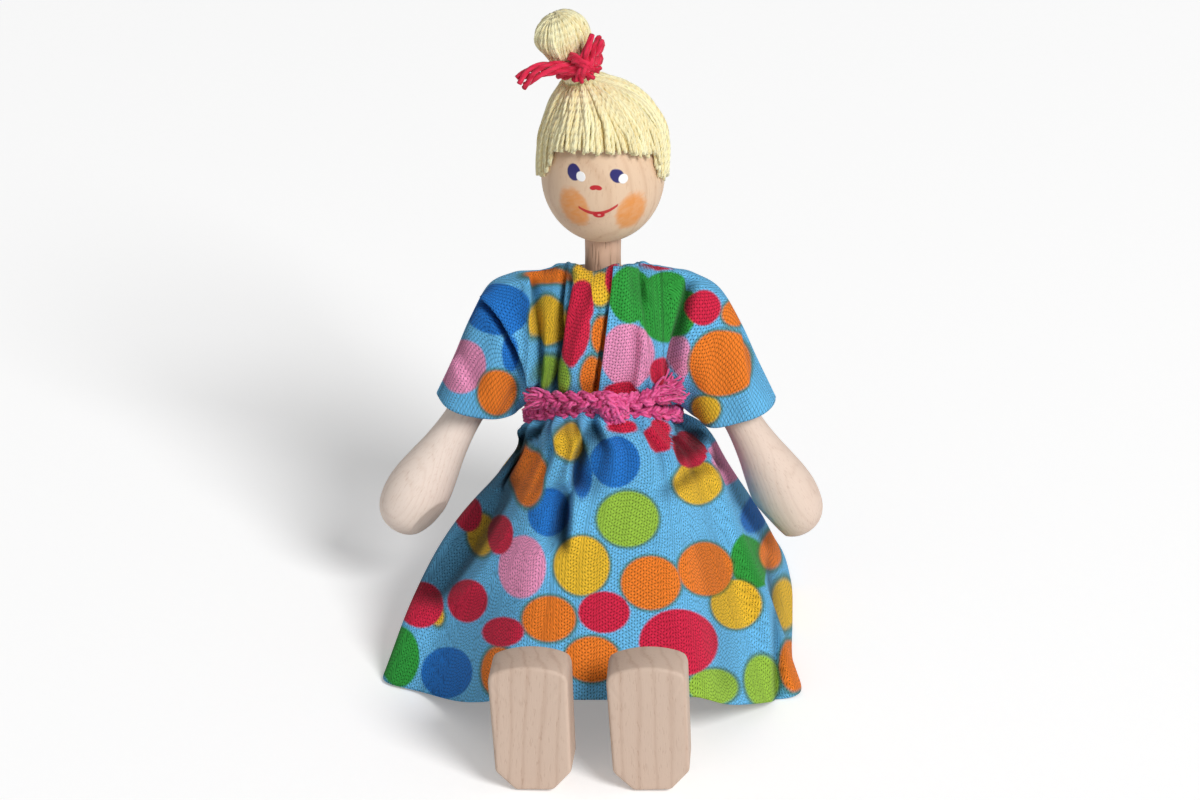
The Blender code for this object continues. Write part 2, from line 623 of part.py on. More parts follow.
def build_skirt():
    count = 72
    degrees = np.arange(count) * 360 / count
    angles = np.radians(degrees)
    corners = hem_points()
    hem_x = smooth_table(corners[:, 3], corners[:, 0], degrees)
    hem_y = smooth_table(corners[:, 3], corners[:, 1], degrees)
    low = FLOOR_GAP + CLOTH / 2
    over_legs = LEG_TOP_Z + GAP + CLOTH / 2
    hem_z = low + (over_legs - low) * smooth_table(corners[:, 3], corners[:, 2], degrees)
    waist_x, waist_y = oval(angles, WAIST_WIDE, WAIST_DEEP)
    waist_z = WAIST_Z - waist_drop(angles)
    belt_foot = waist_z - BELT_RADIUS - GAP
    rings = [np.stack([waist_x, waist_y, waist_z - GAP / 2], axis=1)]
    for part in (0.0, 0.11, 0.27, 0.46, 0.66, 0.84, 1.0):
        out = part ** 0.92
        down = part ** 1.06
        x = waist_x + (hem_x - waist_x) * out
        y = waist_y + (hem_y - waist_y) * out
        z = belt_foot + (hem_z - belt_foot) * down
        gathers = 0.35 * np.cos(14 * angles) * math.exp(-((part - 0.1) / 0.2) ** 2) * min(1.0, 12 * part)
        middle = math.sin(math.pi * min(1.0, part * 1.02)) ** 0.8
        waves = -1.7 * fold(degrees, 303, 7) - 1.3 * fold(degrees, 342, 6) * (1 - part)
        waves = waves + 1.2 * fold(degrees, 66, 8) - 1.0 * fold(degrees, 30, 7)
        waves = waves + 0.9 * np.cos(8 * angles) * fold(degrees, 180, 75)
        lift = gathers + middle * waves
        across, along = np.sin(angles), -np.cos(angles)
        rings.append(np.stack([x + lift * across, y + lift * along, z + 0.35 * lift * (part < 1)], axis=1))
    return rings_shell("skirt", np.array(rings), COTTON)


def build_belt():
    wide = WAIST_WIDE + CLOTH / 2 + GAP + BELT_RADIUS
    deep = WAIST_DEEP + CLOTH / 2 + GAP + BELT_RADIUS
    angles = np.radians(np.linspace(14, 346, 25))
    x, y = oval(angles, wide, deep)
    tube("belt", np.stack([x, y, WAIST_Z - waist_drop(angles)], axis=1), BELT_RADIUS, MAGENTA)
    size = BELT_RADIUS * 1.45
    profile = [(size * math.sin(a), size * math.cos(a)) for a in np.radians(np.arange(0, 181, 30))]
    knot = turned("belt_knot", profile, MAGENTA, steps=14)
    front = deep + BELT_RADIUS * 0.4
    moved(knot, Matrix.Translation(Vector((0.9, -front - size * 0.55, WAIST_Z)) * MM))
    layer = 2 * BELT_RADIUS + GAP
    for name, side, rise in (("belt_left_end", 1, 2.4), ("belt_right_end", -1, 1.0)):
        start = 0.9 + side * (size + GAP + BELT_RADIUS * 0.3)
        stop = side * BELT_END_LENGTH
        xs = np.linspace(start, stop, 5)
        turn = np.arcsin(np.clip(xs / (wide + layer), -1, 1))
        ys = -(deep + layer) * np.cos(turn)
        zs = WAIST_Z - waist_drop(turn) + rise * (xs - start) / (stop - start)
        tube(name, np.stack([xs, ys, zs], axis=1), BELT_RADIUS, MAGENTA)


build_torso()
build_head()
build_hair_cap()
build_topknot()
for doll_side in (1, -1):
    build_arm(doll_side)
    build_leg(doll_side)
    build_foot(doll_side)
    build_sleeve(doll_side)
build_cord("shoulder_cord", ARM_X + ARM_RADIUS + 0.4, SHOULDER_Z)
build_cord("hip_cord", HIP_X + LEG_RADIUS + 0.4, HIP_Z)
build_bodice()
build_skirt()
build_belt()
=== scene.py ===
"""Looks of the sitting wooden doll: turned maple, yarn hair, braided belt and a printed cotton dress."""

import math

import bmesh
import bpy
import numpy as np
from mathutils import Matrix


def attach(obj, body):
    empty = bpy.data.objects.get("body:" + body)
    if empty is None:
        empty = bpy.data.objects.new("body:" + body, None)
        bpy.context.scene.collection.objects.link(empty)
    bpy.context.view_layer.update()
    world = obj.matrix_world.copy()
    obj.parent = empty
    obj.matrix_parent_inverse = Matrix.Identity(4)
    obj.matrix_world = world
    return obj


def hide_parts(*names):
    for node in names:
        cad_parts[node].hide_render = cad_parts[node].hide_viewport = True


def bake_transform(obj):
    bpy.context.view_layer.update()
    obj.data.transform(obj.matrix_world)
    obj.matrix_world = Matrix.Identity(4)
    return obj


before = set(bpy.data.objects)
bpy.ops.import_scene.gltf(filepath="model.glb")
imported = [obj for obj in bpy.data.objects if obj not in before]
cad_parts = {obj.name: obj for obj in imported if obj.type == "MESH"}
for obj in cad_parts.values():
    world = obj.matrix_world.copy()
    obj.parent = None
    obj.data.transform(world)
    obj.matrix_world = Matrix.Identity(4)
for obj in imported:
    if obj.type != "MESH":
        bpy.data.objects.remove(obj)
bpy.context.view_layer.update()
MM = 0.001
TAU = math.tau
chance = np.random.default_rng(27)

# Sizes that the solids have too, in millimetres and degrees; side 1 is the doll's left and -1 its right
HEAD_RADIUS, HEAD_ABOVE, HEAD_BELOW, HEAD_Z = 9.0, 12.6, 10.1, 69.6
HAIR_SIDE, HAIR_TOP, CROWN_SHIFT, HAIR_FULL, TOPKNOT_LEAN = 0.9, 3.1, 3.0, 0.03, 24.0
SHOULDER_Z, ARM_X, ARM_LENGTH, ARM_FORWARD = 48.3, 10.55, 41.3, 3.0
ARM_SPLAY = {1: 28.5, -1: 29.5}
HAND_RADIUS, HAND_AT, PALM_DEPTH, PALM_SLOPE, PALM_EDGE = 4.8, 0.88, 0.9, 11.0, 20.0
PALM_FACING = {1: 20.0, -1: 38.0}
HIP_X, HIP_Z, LEG_SPLAY = 7.05, 6.0, {1: 0.0, -1: 2.6}
FOOT_BACK, FOOT_WIDTH, FOOT_HEIGHT, FOOT_THICKNESS = 52.25, 11.4, 20.0, 6.8
FOOT_ARCH, HEEL_CHAMFER, FOOT_EDGE, FOOT_TURN, FOOT_LEAN = 1.3, 3.0, 0.45, 3.0, 3.0
WAIST_Z, WAIST_DROP, WAIST_WIDE, WAIST_DEEP = 36.8, 6.0, 9.2, 8.0

# A shallow groove across the sole below its toe end, and how high the foot stands
GROOVE_DOWN, GROOVE_HALF, GROOVE_DEEP, FOOT_LIFT = 2.9, 1.2, 0.10, 0.15

# Fineness of the meshes: steps along a form, sides round it, rows and columns of cloth
EGG_STEPS, EGG_SIDES, DOWEL_STEPS, DOWEL_SIDES = 90, 128, 60, 64
ARM_STEPS, ARM_SIDES, FOOT_STEPS, FOOT_EDGE_STEPS = 150, 96, 220, 6
SKIRT_ROWS, SKIRT_COLUMNS, TOP_ROWS, TOP_COLUMNS = 84, 430, 60, 132
HAIR_STEPS, CAP_STEPS, CAP_SIDES, CORE_STEPS, CORE_SIDES = 26, 30, 96, 30, 40
BELT_STEPS, BELT_END_STEPS, KNOT_STEPS, FRAY_STEPS = 420, 90, 60, 9

# Turned profiles: the neck as (radius, height), the arm as shares of its length and its radii there
NECK_PROFILE = np.array([
    (0.01, 64.2), (2.3, 64.2), (2.65, 63.9), (2.68, 60.0), (2.62, 57.0), (2.65, 54.0), (2.65, 50.6),
    (2.3, 50.3), (0.01, 50.3),
])
ARM_SHARES = np.array([
    -0.063, -0.0545, -0.0315, 0, 0.15, 0.45, 0.53, 0.63, 0.72, 0.79, 0.845, 0.89, 0.94, 0.975, 0.995, 1,
])
ARM_RADII = np.array([0, 1.3, 2.25, 2.6, 2.6, 2.65, 2.78, 3.31, 4.08, 4.62, 4.8, 4.66, 4.13, 3.17, 1.92, 0])

# Where the photograph was taken from, in millimetres; its pixel at the doll and its size in pixels
VIEW_TARGET = np.array([-0.44, 0.0, 32.7])
VIEW_DISTANCE, VIEW_TILT, PIXEL = 1000.0, math.radians(27.0), 0.148
TOWARD_CAMERA = np.array([0, -math.cos(VIEW_TILT), math.sin(VIEW_TILT)])
PHOTO_WIDE, PHOTO_TALL, SENSOR = 1200, 800, 36.0

# Light, in metres and watts, and the floor, in millimetres
WORLD_LIGHT, LAMP_POWER, LAMP_SIZE, LAMP_DISTANCE = 0.28, 192.0, 2.0, 5.0
LAMP_AIM, LAMP_WAY = np.array([0, 0, 0.035]), np.array([0.46, -0.64, 0.62])
FLOOR_GLOW, FLOOR_HALF, FLOOR_POINTS, FLOOR_Z = 0.27, 1500, 9, -0.02

# Colours, 0 to 255 per channel; wood and yarn have a light one and a dark one
PAPER = ((252, 252, 252), (249, 249, 249))
MAPLE = ((236, 214, 196), (190, 148, 116))
FACE_WOOD = ((232, 202, 172), (186, 138, 100))
# Arm maple by side: a darker copy on the doll's left arm as painted shade, a lighter copy on its right arm
# as painted light
LIT_AND_SHADED_ARM_WOOD = {1: ((232, 210, 194), (172, 132, 108)), -1: ((255, 238, 225), (204, 166, 140))}
# Foot maple: darker and greyer than the arms, partly the plates' own tone and partly painted shade on the
# soles
FOOT_WOOD_AND_PAINTED_SHADE = ((212, 188, 170), (160, 122, 98))
BEECH, BEECH_PORES = ((222, 184, 158), (160, 112, 84)), (118, 76, 56)
ELASTIC = ((236, 233, 226), (196, 192, 184))
# Straw yarn, and a darker copy of it for the base and core under the strands: painted shade between them
STRAW, STRAW_PAINTED_SHADE = ((255, 249, 205), (242, 224, 168)), ((246, 229, 172), (214, 190, 128))
RED_WOOL, MAGENTA = ((240, 52, 88), (190, 24, 54)), ((250, 108, 170), (192, 56, 114))
CHEEK_ORANGE, EYE_INK, PAINT_WHITE = (231, 148, 68), (46, 44, 112), (250, 250, 250)
PAINT_RED, LIP_LIGHT = (196, 34, 44), (240, 170, 160)
CLOTH_BLUE, RIM_OLIVE = (104, 182, 228), (74, 112, 60)
INKS = {
    "pink": (232, 148, 188), "blue": (36, 114, 196), "green": (48, 150, 60), "lime": (148, 188, 66),
    "yellow": (226, 182, 50), "orange": (232, 124, 42), "crimson": (206, 38, 70),
}
GREEN_RIMS = ("lime", "yellow", "orange")

# Face: middles (x, z), half sizes and tilts, then for eyes and nose how soft an edge and how thick a coat
CHEEKS = (((-4.1, 67.9), (2.0, 3.1), 14.0), ((4.0, 67.2), (2.05, 3.0), -16.0))
EYES_AND_NOSE = (
    (EYE_INK, (-4.2, 73.4), (0.95, 1.2), 0.0, 0.09, 1.0),
    (EYE_INK, (2.05, 73.2), (1.2, 0.9), -42.0, 0.09, 1.0),
    (PAINT_WHITE, (-3.2, 72.98), (0.66, 0.74), 0.0, 0.10, 1.0),
    (PAINT_WHITE, (2.92, 72.7), (0.68, 0.72), 0.0, 0.10, 1.0),
    (PAINT_RED, (-1.32, 71.55), (0.62, 0.36), 14.0, 0.14, 0.6),
    (PAINT_RED, (-0.72, 71.55), (0.6, 0.36), -14.0, 0.14, 0.6),
)
SMILE_MIDDLE, SMILE_SLANT, SMILE_CURVE, SMILE_REACH = (-0.7, 67.45), 0.1, 0.128, 2.95
LIP, LIP_SHINE = ((-0.6, 67.2), (0.86, 0.52)), ((-0.55, 67.15), (0.24, 0.17))

# Cloth: lengths in millimetres, flat cuts in metres
WARP_PITCH, WEFT_PITCH, CLOTH_THICK = 0.42, 0.52, 0.28
# Painted shade in fold valleys: how much it darkens the cloth, and the fold depth in millimetres where it is
# full
HOLLOW_SHADE, HOLLOW_DEPTH = 0.74, 2.2
FAR_FROM_DOTS = 9.0
SPARE_SKIRT_DOTS, SPARE_BACK_DOTS, SPARE_DOT_RADII = 60, 16, (2.2, 4.4)

# Dots seen in the photograph: (column, row, half width, half height) in pixels; those of the top by side
SKIRT_DOTS = {
    "pink": ((522, 566, 24, 32), (733, 456, 18, 24)),
    "blue": (
        (549, 512, 21, 25), (582, 474, 10, 26), (616, 461, 25, 26), (447, 674, 27, 26), (757, 513, 11, 20),
    ),
    "green": ((400, 657, 20, 31), (756, 559, 22, 30)),
    "lime": ((628, 518, 31, 28), (713, 687, 26, 18), (762, 681, 18, 26)),
    "yellow": (
        (571, 443, 13, 19), (482, 533, 14, 21), (438, 617, 6, 9), (581, 564, 28, 30), (735, 606, 26, 25),
        (696, 482, 25, 22), (785, 604, 11, 27),
    ),
    "orange": (
        (523, 459, 8, 17), (529, 479, 17, 29), (549, 620, 27, 23), (497, 670, 17, 25), (593, 659, 28, 23),
        (650, 583, 30, 27), (706, 568, 29, 27), (773, 549, 10, 20), (795, 664, 15, 28),
    ),
    "crimson": (
        (468, 514, 13, 19), (500, 535, 14, 20), (468, 602, 21, 22), (502, 631, 22, 15), (421, 603, 22, 23),
        (604, 614, 26, 21), (678, 642, 40, 34), (661, 437, 13, 18), (691, 447, 18, 21), (622, 427, 16, 7),
    ),
}
TOP_DOTS = {
    -1: {
        "pink": ((461, 366, 24, 27),),
        "blue": ((497, 310, 33, 26), (511, 352, 9, 20)),
        "lime": ((546, 372, 9, 17), (561, 377, 8, 16)),
        "yellow": ((547, 321, 17, 25), (584, 275, 11, 13), (600, 288, 11, 17)),
        "orange": ((547, 274, 23, 8), (497, 393, 20, 23), (602, 333, 11, 19), (593, 378, 12, 21)),
        "crimson": ((581, 301, 14, 22), (576, 325, 14, 32), (570, 344, 12, 20), (612, 277, 8, 17)),
    },
    1: {
        "pink": ((627, 356, 27, 32), (681, 357, 10, 21)),
        "green": ((630, 296, 22, 29), (667, 306, 31, 36)),
        "yellow": ((705, 410, 15, 14),),
        "orange": ((735, 313, 13, 13), (722, 362, 32, 33)),
        "crimson": ((621, 394, 19, 12), (662, 372, 12, 15), (703, 309, 17, 18), (658, 264, 20, 4)),
    },
}

# Folds seen in the photograph: (rows, columns, height and width on the line's left, the same on its right)
SKIRT_FOLDS = (
    ((430, 470, 509, 553, 600), (541, 524, 507, 481, 446), -3.8, 46, 3.4, 52),
    ((428, 458, 492), (586, 573, 570), 1.8, 12, -4.2, 20),
    ((490, 512, 545), (571, 570, 567), -4.0, 22, 1.2, 14),
    ((424, 442, 465, 487), (545, 533, 519, 505), -3.0, 5, 0.7, 8),
    ((421, 436, 452), (527, 524, 520), -2.6, 5, 0.6, 5),
    ((422, 440, 460), (673, 674, 675), 0.8, 9, -2.4, 8),
    ((424, 440, 456), (703, 697, 688), -3.0, 14, -3.0, 12),
    ((424, 447, 470, 482), (709, 712, 723, 738), 1.4, 8, -2.6, 17),
    ((464, 477, 492), (706, 688, 666), -1.7, 12, -1.7, 12),
    ((505, 560, 623, 705), (760, 767, 771, 774), 1.8, 22, -1.6, 10),
    ((540, 620, 690), (690, 706, 716), 0.7, 34, -0.7, 34),
)
TOP_FOLDS = {
    -1: (
        ((294, 308, 324, 348, 378, 392), (478, 490, 502, 515, 530, 537), -2.2, 6, 0.9, 12),
        ((274, 323, 390), (530, 533, 535), 1.2, 9, -1.8, 7),
        ((272, 284, 323, 360, 396), (568, 566, 559, 557, 554), -2.4, 6, -2.0, 4),
        ((296, 342, 371, 396), (595, 578, 571, 565), 1.2, 8, 1.0, 9),
        ((264, 285, 302), (586, 590, 596), 0.9, 9, 1.3, 12),
        ((310, 350, 396), (606, 600, 592), 0.4, 6, -1.2, 5),
        ((330, 390), (447, 470), 0.6, 16, -0.5, 16),
    ),
    1: (
        ((274, 309, 335, 380), (691, 683, 677, 670), -1.8, 4, -2.1, 7),
        ((330, 360, 395), (640, 638, 632), -0.7, 9, 0.5, 10),
        ((266, 300), (640, 646), -1.0, 8, 0.5, 8),
        ((290, 340, 400), (735, 742, 752), 0.5, 14, -0.4, 14),
    ),
}

# Hem of the skirt: (angle from the front, across, along, lift over the legs)
HEM_Z, HEM_OVER_LEGS, HEM_SIDE, HEM_REACH = 0.45, 10.25, 26.5, 50.1
HEM_MARKS = np.array([
    (-180, -0.08, 0.61, 0), (-162.5, -0.45, 0.57, 0), (-145, -0.62, 0.4, 0), (-127.5, -0.77, 0.16, 0),
    (-110, -0.89, -0.08, 0), (-92.5, -1.04, -0.3, 0), (-75, -1.215, -0.54, 0), (-62.5, -1, -0.62, 0.02),
    (-50, -0.81, -0.76, 0.28), (-37.5, -0.655, -0.895, 0.66), (-25, -0.505, -0.978, 0.97),
    (-12.5, -0.26, -0.997, 1), (0, 0, -1, 1), (12.5, 0.3, -0.996, 1), (25, 0.5, -0.975, 0.97),
    (37.5, 0.68, -0.895, 0.62), (50, 0.83, -0.77, 0.26), (62.5, 0.95, -0.67, 0.02), (75, 1.09, -0.61, 0),
    (90, 1.06, -0.4, 0), (105, 1.06, -0.16, 0), (120, 1.06, 0.08, 0), (135, 1.01, 0.32, 0),
    (150, 0.8, 0.52, 0), (165, 0.34, 0.6, 0), (180, -0.08, 0.61, 0),
]) * np.array([1, HEM_SIDE, HEM_REACH, 1])

# Edges of the dress top by the share of its columns from the body's middle to the cuff
NECK_SHARE, NECK_HALF, NECK_DEEP, WAIST_SHARE, TOP_HALF, TOP_DEEP = 0.30, 5.3, 5.2, 0.42, 9.35, 8.2
UPPER_SHARES = (0.0, NECK_SHARE, 0.40, 0.50, 0.60, 0.70, 0.80, 0.90, 1.0)
UPPER_X = (0, NECK_HALF, 8.0, 10.6, 13.5, 16.9, 19.6, 22.0, 24.6)
UPPER_Z = (55.2, 55.2, 55.0, 54.6, 53.5, 51.5, 46.5, 40.4, 34.3)
LOWER_SHARES = (0.0, WAIST_SHARE, 0.50, 0.56, 0.70, 0.85, 1.0)
LOWER_X = (0, TOP_HALF, 10.1, 10.7, 11.4, 12.1, 12.7)
LOWER_Z = (31.0, 32.0, 32.6, 32.7, 32.3, 31.9)
DEPTH_SHARES, DEPTHS = (0, 0.15, 0.30, 0.40, 0.50, 0.60, 1.0), (9.4, 9.2, 8.6, 7.6, 6.5, 5.9, 5.8)

# Hair: its cut edge as angles from the front and heights above the head's middle, and the topknot's form
STRAND_RADIUS = 0.27
HAIR_EDGE_ANGLES = (-180, -135, -100, -70, -50, -20, 10, 35, 52, 68, 100, 135, 180)
HAIR_EDGE_HEIGHTS = (-5.0, -5.0, -0.2, 1.2, 6.8, 7.5, 7.4, 6.6, 5.9, 1.0, -0.4, -5.0, -5.0)
TOPKNOT_FOOT_Z = 85.65
TOPKNOT_HEIGHTS = (0.0, 2.0, 3.2, 4.6, 6.4, 7.9, 9.1, 9.8, 10.05)
TOPKNOT_RADII = (2.6, 2.6, 2.85, 3.25, 3.62, 3.45, 2.55, 1.3, 0.35)

# Layers of strands: name, count, lift off the form and, in the topknot, swirl
HAIR_LAYERS = (("hair_outer", 176, -0.16), ("hair_inner", 118, -0.42))
TOPKNOT_LAYERS = (("topknot_outer", 92, 0.0, 0.9), ("topknot_inner", 60, -0.28, -0.5))
STRAW_PLY, RED_PLY, CORD_PLY = 1.1, 1.6, 1.3

# Red tie: given points in the topknot's frame
TIE_STRAND, TIE_RADIUS, TIE_WINDS, TIE_START = 0.40, 3.15, 3, -1.9
TIE_TAIL = (
    (2.2, -4.6, 3.2), (0.2, -4.4, 3.0), (-2.4, -4.0, 4.0), (-5.2, -4.3, 4.7), (-7.9, -4.2, 4.0),
)
TIE_SPIKE = (
    (1.0, -4.3, 3.0), (2.0, -5.2, 4.0), (3.0, -5.1, 5.2), (4.7, -4.6, 6.9),
)
TIE_LOOP = (
    (1.6, -4.9, 2.6), (3.1, -5.0, 3.6), (4.5, -4.3, 4.8), (5.0, -3.0, 5.0), (4.6, -1.9, 4.0),
    (3.5, -2.6, 2.8),
)
TIE_KNOT = (
    ((0.4, -3.6, 4.4), (1.2, -5.2, 4.3), (2.2, -5.7, 3.2), (2.4, -4.9, 2.0), (2.0, -3.6, 1.6)),
    ((3.2, -3.6, 4.0), (2.9, -5.2, 3.5), (1.6, -5.8, 2.8), (0.6, -5.0, 2.0), (0.8, -3.8, 1.5)),
)
TIE_BUDS = (
    ((1.3, -5.0, 2.6), (0.7, -5.6, 2.1), (0.2, -5.7, 1.3)),
    ((2.4, -4.9, 2.6), (3.0, -5.2, 2.1), (3.5, -5.0, 1.7)),
    ((1.8, -5.2, 2.4), (1.9, -5.7, 1.7), (2.0, -5.6, 1.1)),
)

# Belt: given points of its knot, and per end its x, rise, lift, fan of fibres and name
BELT_WIDE, BELT_DEEP = WAIST_WIDE + 1.85, WAIST_DEEP + 1.85
BRAID_PERIOD, BRAID_YARN, YARN_LAY = 6.4, 0.31, 2.6
KNOT_X = 1.5
KNOT_TURN = math.asin(KNOT_X / BELT_WIDE)
FRAY_COUNT, FRAY_SPREAD, FRAY_RADII = 60, np.array([0.22, 0.28, 0.42]), (0.27, 0.17)
BELT_ENDS = ((-9.3, 1.35, 0.3, 1.0, "left"), (8.6, 0.9, 1.5, 1.75, "right"))
BELT_KNOT = (
    (
        (-1.6, 0.6, 0.9), (-0.7, -1.0, 1.9), (0.4, -1.5, 1.3), (0.8, -1.4, 0.0), (0.4, -0.9, -1.6),
        (-0.4, 0.6, -2.0),
    ),
    (
        (1.7, 0.6, 0.7), (0.8, -0.7, 1.2), (-0.5, -1.2, 0.5), (-1.1, -1.0, -0.7), (-0.4, -0.6, -1.7),
        (0.8, 0.5, -1.6),
    ),
    ((-1.9, 0.4, -0.2), (-0.6, -0.7, 0.1), (0.7, -0.8, -0.6), (1.9, 0.4, -0.9)),
)


# Shader arithmetic
def arithmetic(operation, swapped=False):
    """A method of Value that adds a Math node on itself and another number, in this order or swapped."""
    def method(self, other):
        return self.finish.calc(operation, *((other, self) if swapped else (self, other)))

    return method


class Value:
    """A number inside a material: arithmetic on it adds Math nodes."""

    __add__ = __radd__ = arithmetic("ADD")
    __mul__ = __rmul__ = arithmetic("MULTIPLY")
    __sub__, __rsub__ = arithmetic("SUBTRACT"), arithmetic("SUBTRACT", True)
    __truediv__, __pow__ = arithmetic("DIVIDE"), arithmetic("POWER")

    def __init__(self, finish, socket):
        self.finish, self.socket = finish, socket

    def step(self, low, high):
        """0 below low, 1 above high, smooth between; low may be the larger one."""
        return self.finish.node("ShaderNodeMapRange", {"interpolation_type": "SMOOTHSTEP"},
                                {"Value": self, "From Min": low, "From Max": high})


class Finish:
    """One material: a Principled shader and the nodes that feed it."""

    def __init__(self, name, **fixed):
        self.material = bpy.data.materials.new(name)
        self.material.use_nodes = True
        self.tree = self.material.node_tree
        self.shader = self.tree.nodes["Principled BSDF"]
        self.finish(**fixed)

    def feed(self, socket, value):
        if isinstance(value, Value):
            self.tree.links.new(value.socket, socket)
        else:
            socket.default_value = tuple(value)[:3] if socket.type == "VECTOR" else value

    def node(self, kind, settings=None, sockets=None, out=0):
        """Any node: its settings are set first, then its sockets get values or links."""
        made = self.tree.nodes.new(kind)
        for key, value in (settings or {}).items():
            setattr(made, key, value)
        for key, value in (sockets or {}).items():
            self.feed(made.inputs[key], value)
        return Value(self, made.outputs[out])

    def calc(self, operation, *values):
        return self.node("ShaderNodeMath", {"operation": operation}, dict(enumerate(values)))

    def vector(self, operation, *values):
        return self.node("ShaderNodeVectorMath", {"operation": operation}, dict(enumerate(values)))

    def mix(self, low, high, factor):
        """The colour low where factor is 0 and high where it is 1."""
        return self.node("ShaderNodeMix", {"data_type": "RGBA"}, {0: factor, 6: low, 7: high}, 2)

    def shade(self, colour, factor):
        """A colour made lighter or darker by a factor."""
        return self.node("ShaderNodeVectorMath", {"operation": "SCALE"}, {0: colour, "Scale": factor})

    def place(self, turn=(0, 0, 0), stretch=(1, 1, 1), centre=(0, 0, 0)):
        """Object coordinates in millimetres, measured from a centre, turned and stretched."""
        at = self.node("ShaderNodeTexCoord", out="Object")
        away = self.vector("SUBTRACT", at, tuple(part * MM for part in centre))
        turned = self.node("ShaderNodeMapping", {"vector_type": "POINT"},
                           {"Vector": away, "Rotation": tuple(math.radians(part) for part in turn)})
        return self.vector("MULTIPLY", turned, tuple(part / MM for part in stretch))

    def split(self, vector):
        return [self.node("ShaderNodeSeparateXYZ", None, {"Vector": vector}, axis) for axis in "XYZ"]

    def flat_map(self):
        return self.node("ShaderNodeUVMap", {"uv_map": "flat"})

    def noise(self, vector, scale, detail=2.0, roughness=0.5):
        sockets = {"Vector": vector, "Scale": scale, "Detail": detail, "Roughness": roughness}
        return self.node("ShaderNodeTexNoise", None, sockets, "Fac")

    def attribute(self, name):
        return self.node("ShaderNodeAttribute", {"attribute_name": name}, None, "Fac")

    def bump(self, height, depth):
        """Surface relief of that depth in millimetres."""
        sockets = {"Strength": 1.0, "Distance": depth * MM, "Height": height}
        return self.node("ShaderNodeBump", None, sockets)

    def finish(self, **sockets):
        """Gives sockets of the shader their values or links."""
        for socket, value in sockets.items():
            self.feed(self.shader.inputs[socket.replace("_", " ")], value)
        return self.material


def srgb(red, green, blue):
    """A colour written as 0 to 255 per channel, in the linear values that a shader takes."""
    parts = np.array([red, green, blue]) / 255
    linear = np.where(parts <= 0.04045, parts / 12.92, ((parts + 0.055) / 1.055) ** 2.4)
    return (*linear.tolist(), 1.0)


def ellipse_gap(finish, x, z, centre, half, tilt=0.0):
    """How far outside an ellipse a point lies: below 1 is inside."""
    turn = math.radians(tilt)
    across, up = x - centre[0], z - centre[1]
    along = across * math.cos(turn) + up * math.sin(turn)
    over = up * math.cos(turn) - across * math.sin(turn)
    return finish.calc("SQRT", (along / half[0]) ** 2 + (over / half[1]) ** 2)


# Curves, turns and views
def smooth(low, high, at):
    """The cubic step from 0 at low to 1 at high: 3 squares less 2 cubes of the share between them."""
    part = np.clip((np.asarray(at, float) - low) / (high - low), 0, 1)
    return part * part * (3 - 2 * part)


def bell(at, middle, width):
    """1 at the middle, fading as the exponential of minus the squared distance in widths."""
    return np.exp(-((at - middle) / width) ** 2)


def ridge(at, line, width):
    """A bell along a line of angles in degrees, the short way round."""
    return bell((at - line + 180) % 360 - 180, 0, width)


def table(places, values, at):
    """Values read off a table by a curve through its places, whose slopes come from the neighbours."""
    places, values, at = (np.asarray(part, float) for part in (places, values, at))
    slopes = np.gradient(values, places)
    span = np.clip(np.searchsorted(places, at, "right") - 1, 0, len(places) - 2)
    width = places[span + 1] - places[span]
    part = np.clip((at - places[span]) / width, 0, 1)
    first, last = values[span], values[span + 1]
    return ((1 + 2 * part) * (1 - part) ** 2 * first + part ** 2 * (3 - 2 * part) * last
            + width * part * (1 - part) * ((1 - part) * slopes[span] - part * slopes[span + 1]))


def steps(places, values, at):
    """Values read off a table, with a smooth step from each place to the next."""
    numbers = np.arange(len(places))
    at = np.interp(at, places, numbers)
    return np.interp(np.floor(at) + smooth(0, 1, at % 1), numbers, values)


def unit(vectors):
    """Directions at length 1."""
    return vectors / np.maximum(np.linalg.norm(vectors, axis=-1, keepdims=True), 1e-9)


def run_length(points):
    """The length along lines of points, from their first points to each."""
    moved = np.linalg.norm(np.diff(points, axis=-2), axis=-1).cumsum(axis=-1)
    return np.concatenate([np.zeros((*moved.shape[:-1], 1)), moved], axis=-1)


def polyline(corners, places, at):
    """Points read off straight pieces between flat corners at places along the line."""
    return np.stack([np.interp(at, places, corners[:, axis]) for axis in (0, 1)], axis=1)


def axes_across(paths, away):
    """Two directions across each point of a path, by cross products, the second one turned away."""
    along = unit(np.gradient(paths, axis=-2))
    side = unit(np.cross(along, away))
    return side, np.cross(side, along)


def curve(points, count):
    """A smooth path through a few given points, read off at even steps of the length along them."""
    points = np.asarray(points, float)
    run = run_length(points)
    at = np.linspace(0, run[-1], count)
    return np.stack([table(run, points[:, axis], at) for axis in range(3)], axis=-1)


def turn_matrix(axis, degrees):
    """A rotation about X, Y or Z: cosine and sine of the angle in the other two axes."""
    c, s = math.cos(math.radians(degrees)), math.sin(math.radians(degrees))
    first, second = {"X": (1, 2), "Y": (2, 0), "Z": (0, 1)}[axis]
    made = np.eye(3)
    made[first, first] = made[second, second] = c
    made[first, second], made[second, first] = -s, s
    return made


def waist_drop(angle):
    """How far the waist line lies below its front: by 1 less the cosine in front, and level behind."""
    return WAIST_DROP * (1 - np.clip(np.cos(angle), 0, 1))


def photo_pixels(points):
    """Pinhole view of points in millimetres: photograph column, row and distance from the camera."""
    away = points - VIEW_TARGET
    up = np.array([0, math.sin(VIEW_TILT), math.cos(VIEW_TILT)])
    far = VIEW_DISTANCE - away @ TOWARD_CAMERA
    focal = VIEW_DISTANCE / PIXEL
    return PHOTO_WIDE / 2 + focal * away[..., 0] / far, PHOTO_TALL / 2 - focal * (away @ up) / far, far


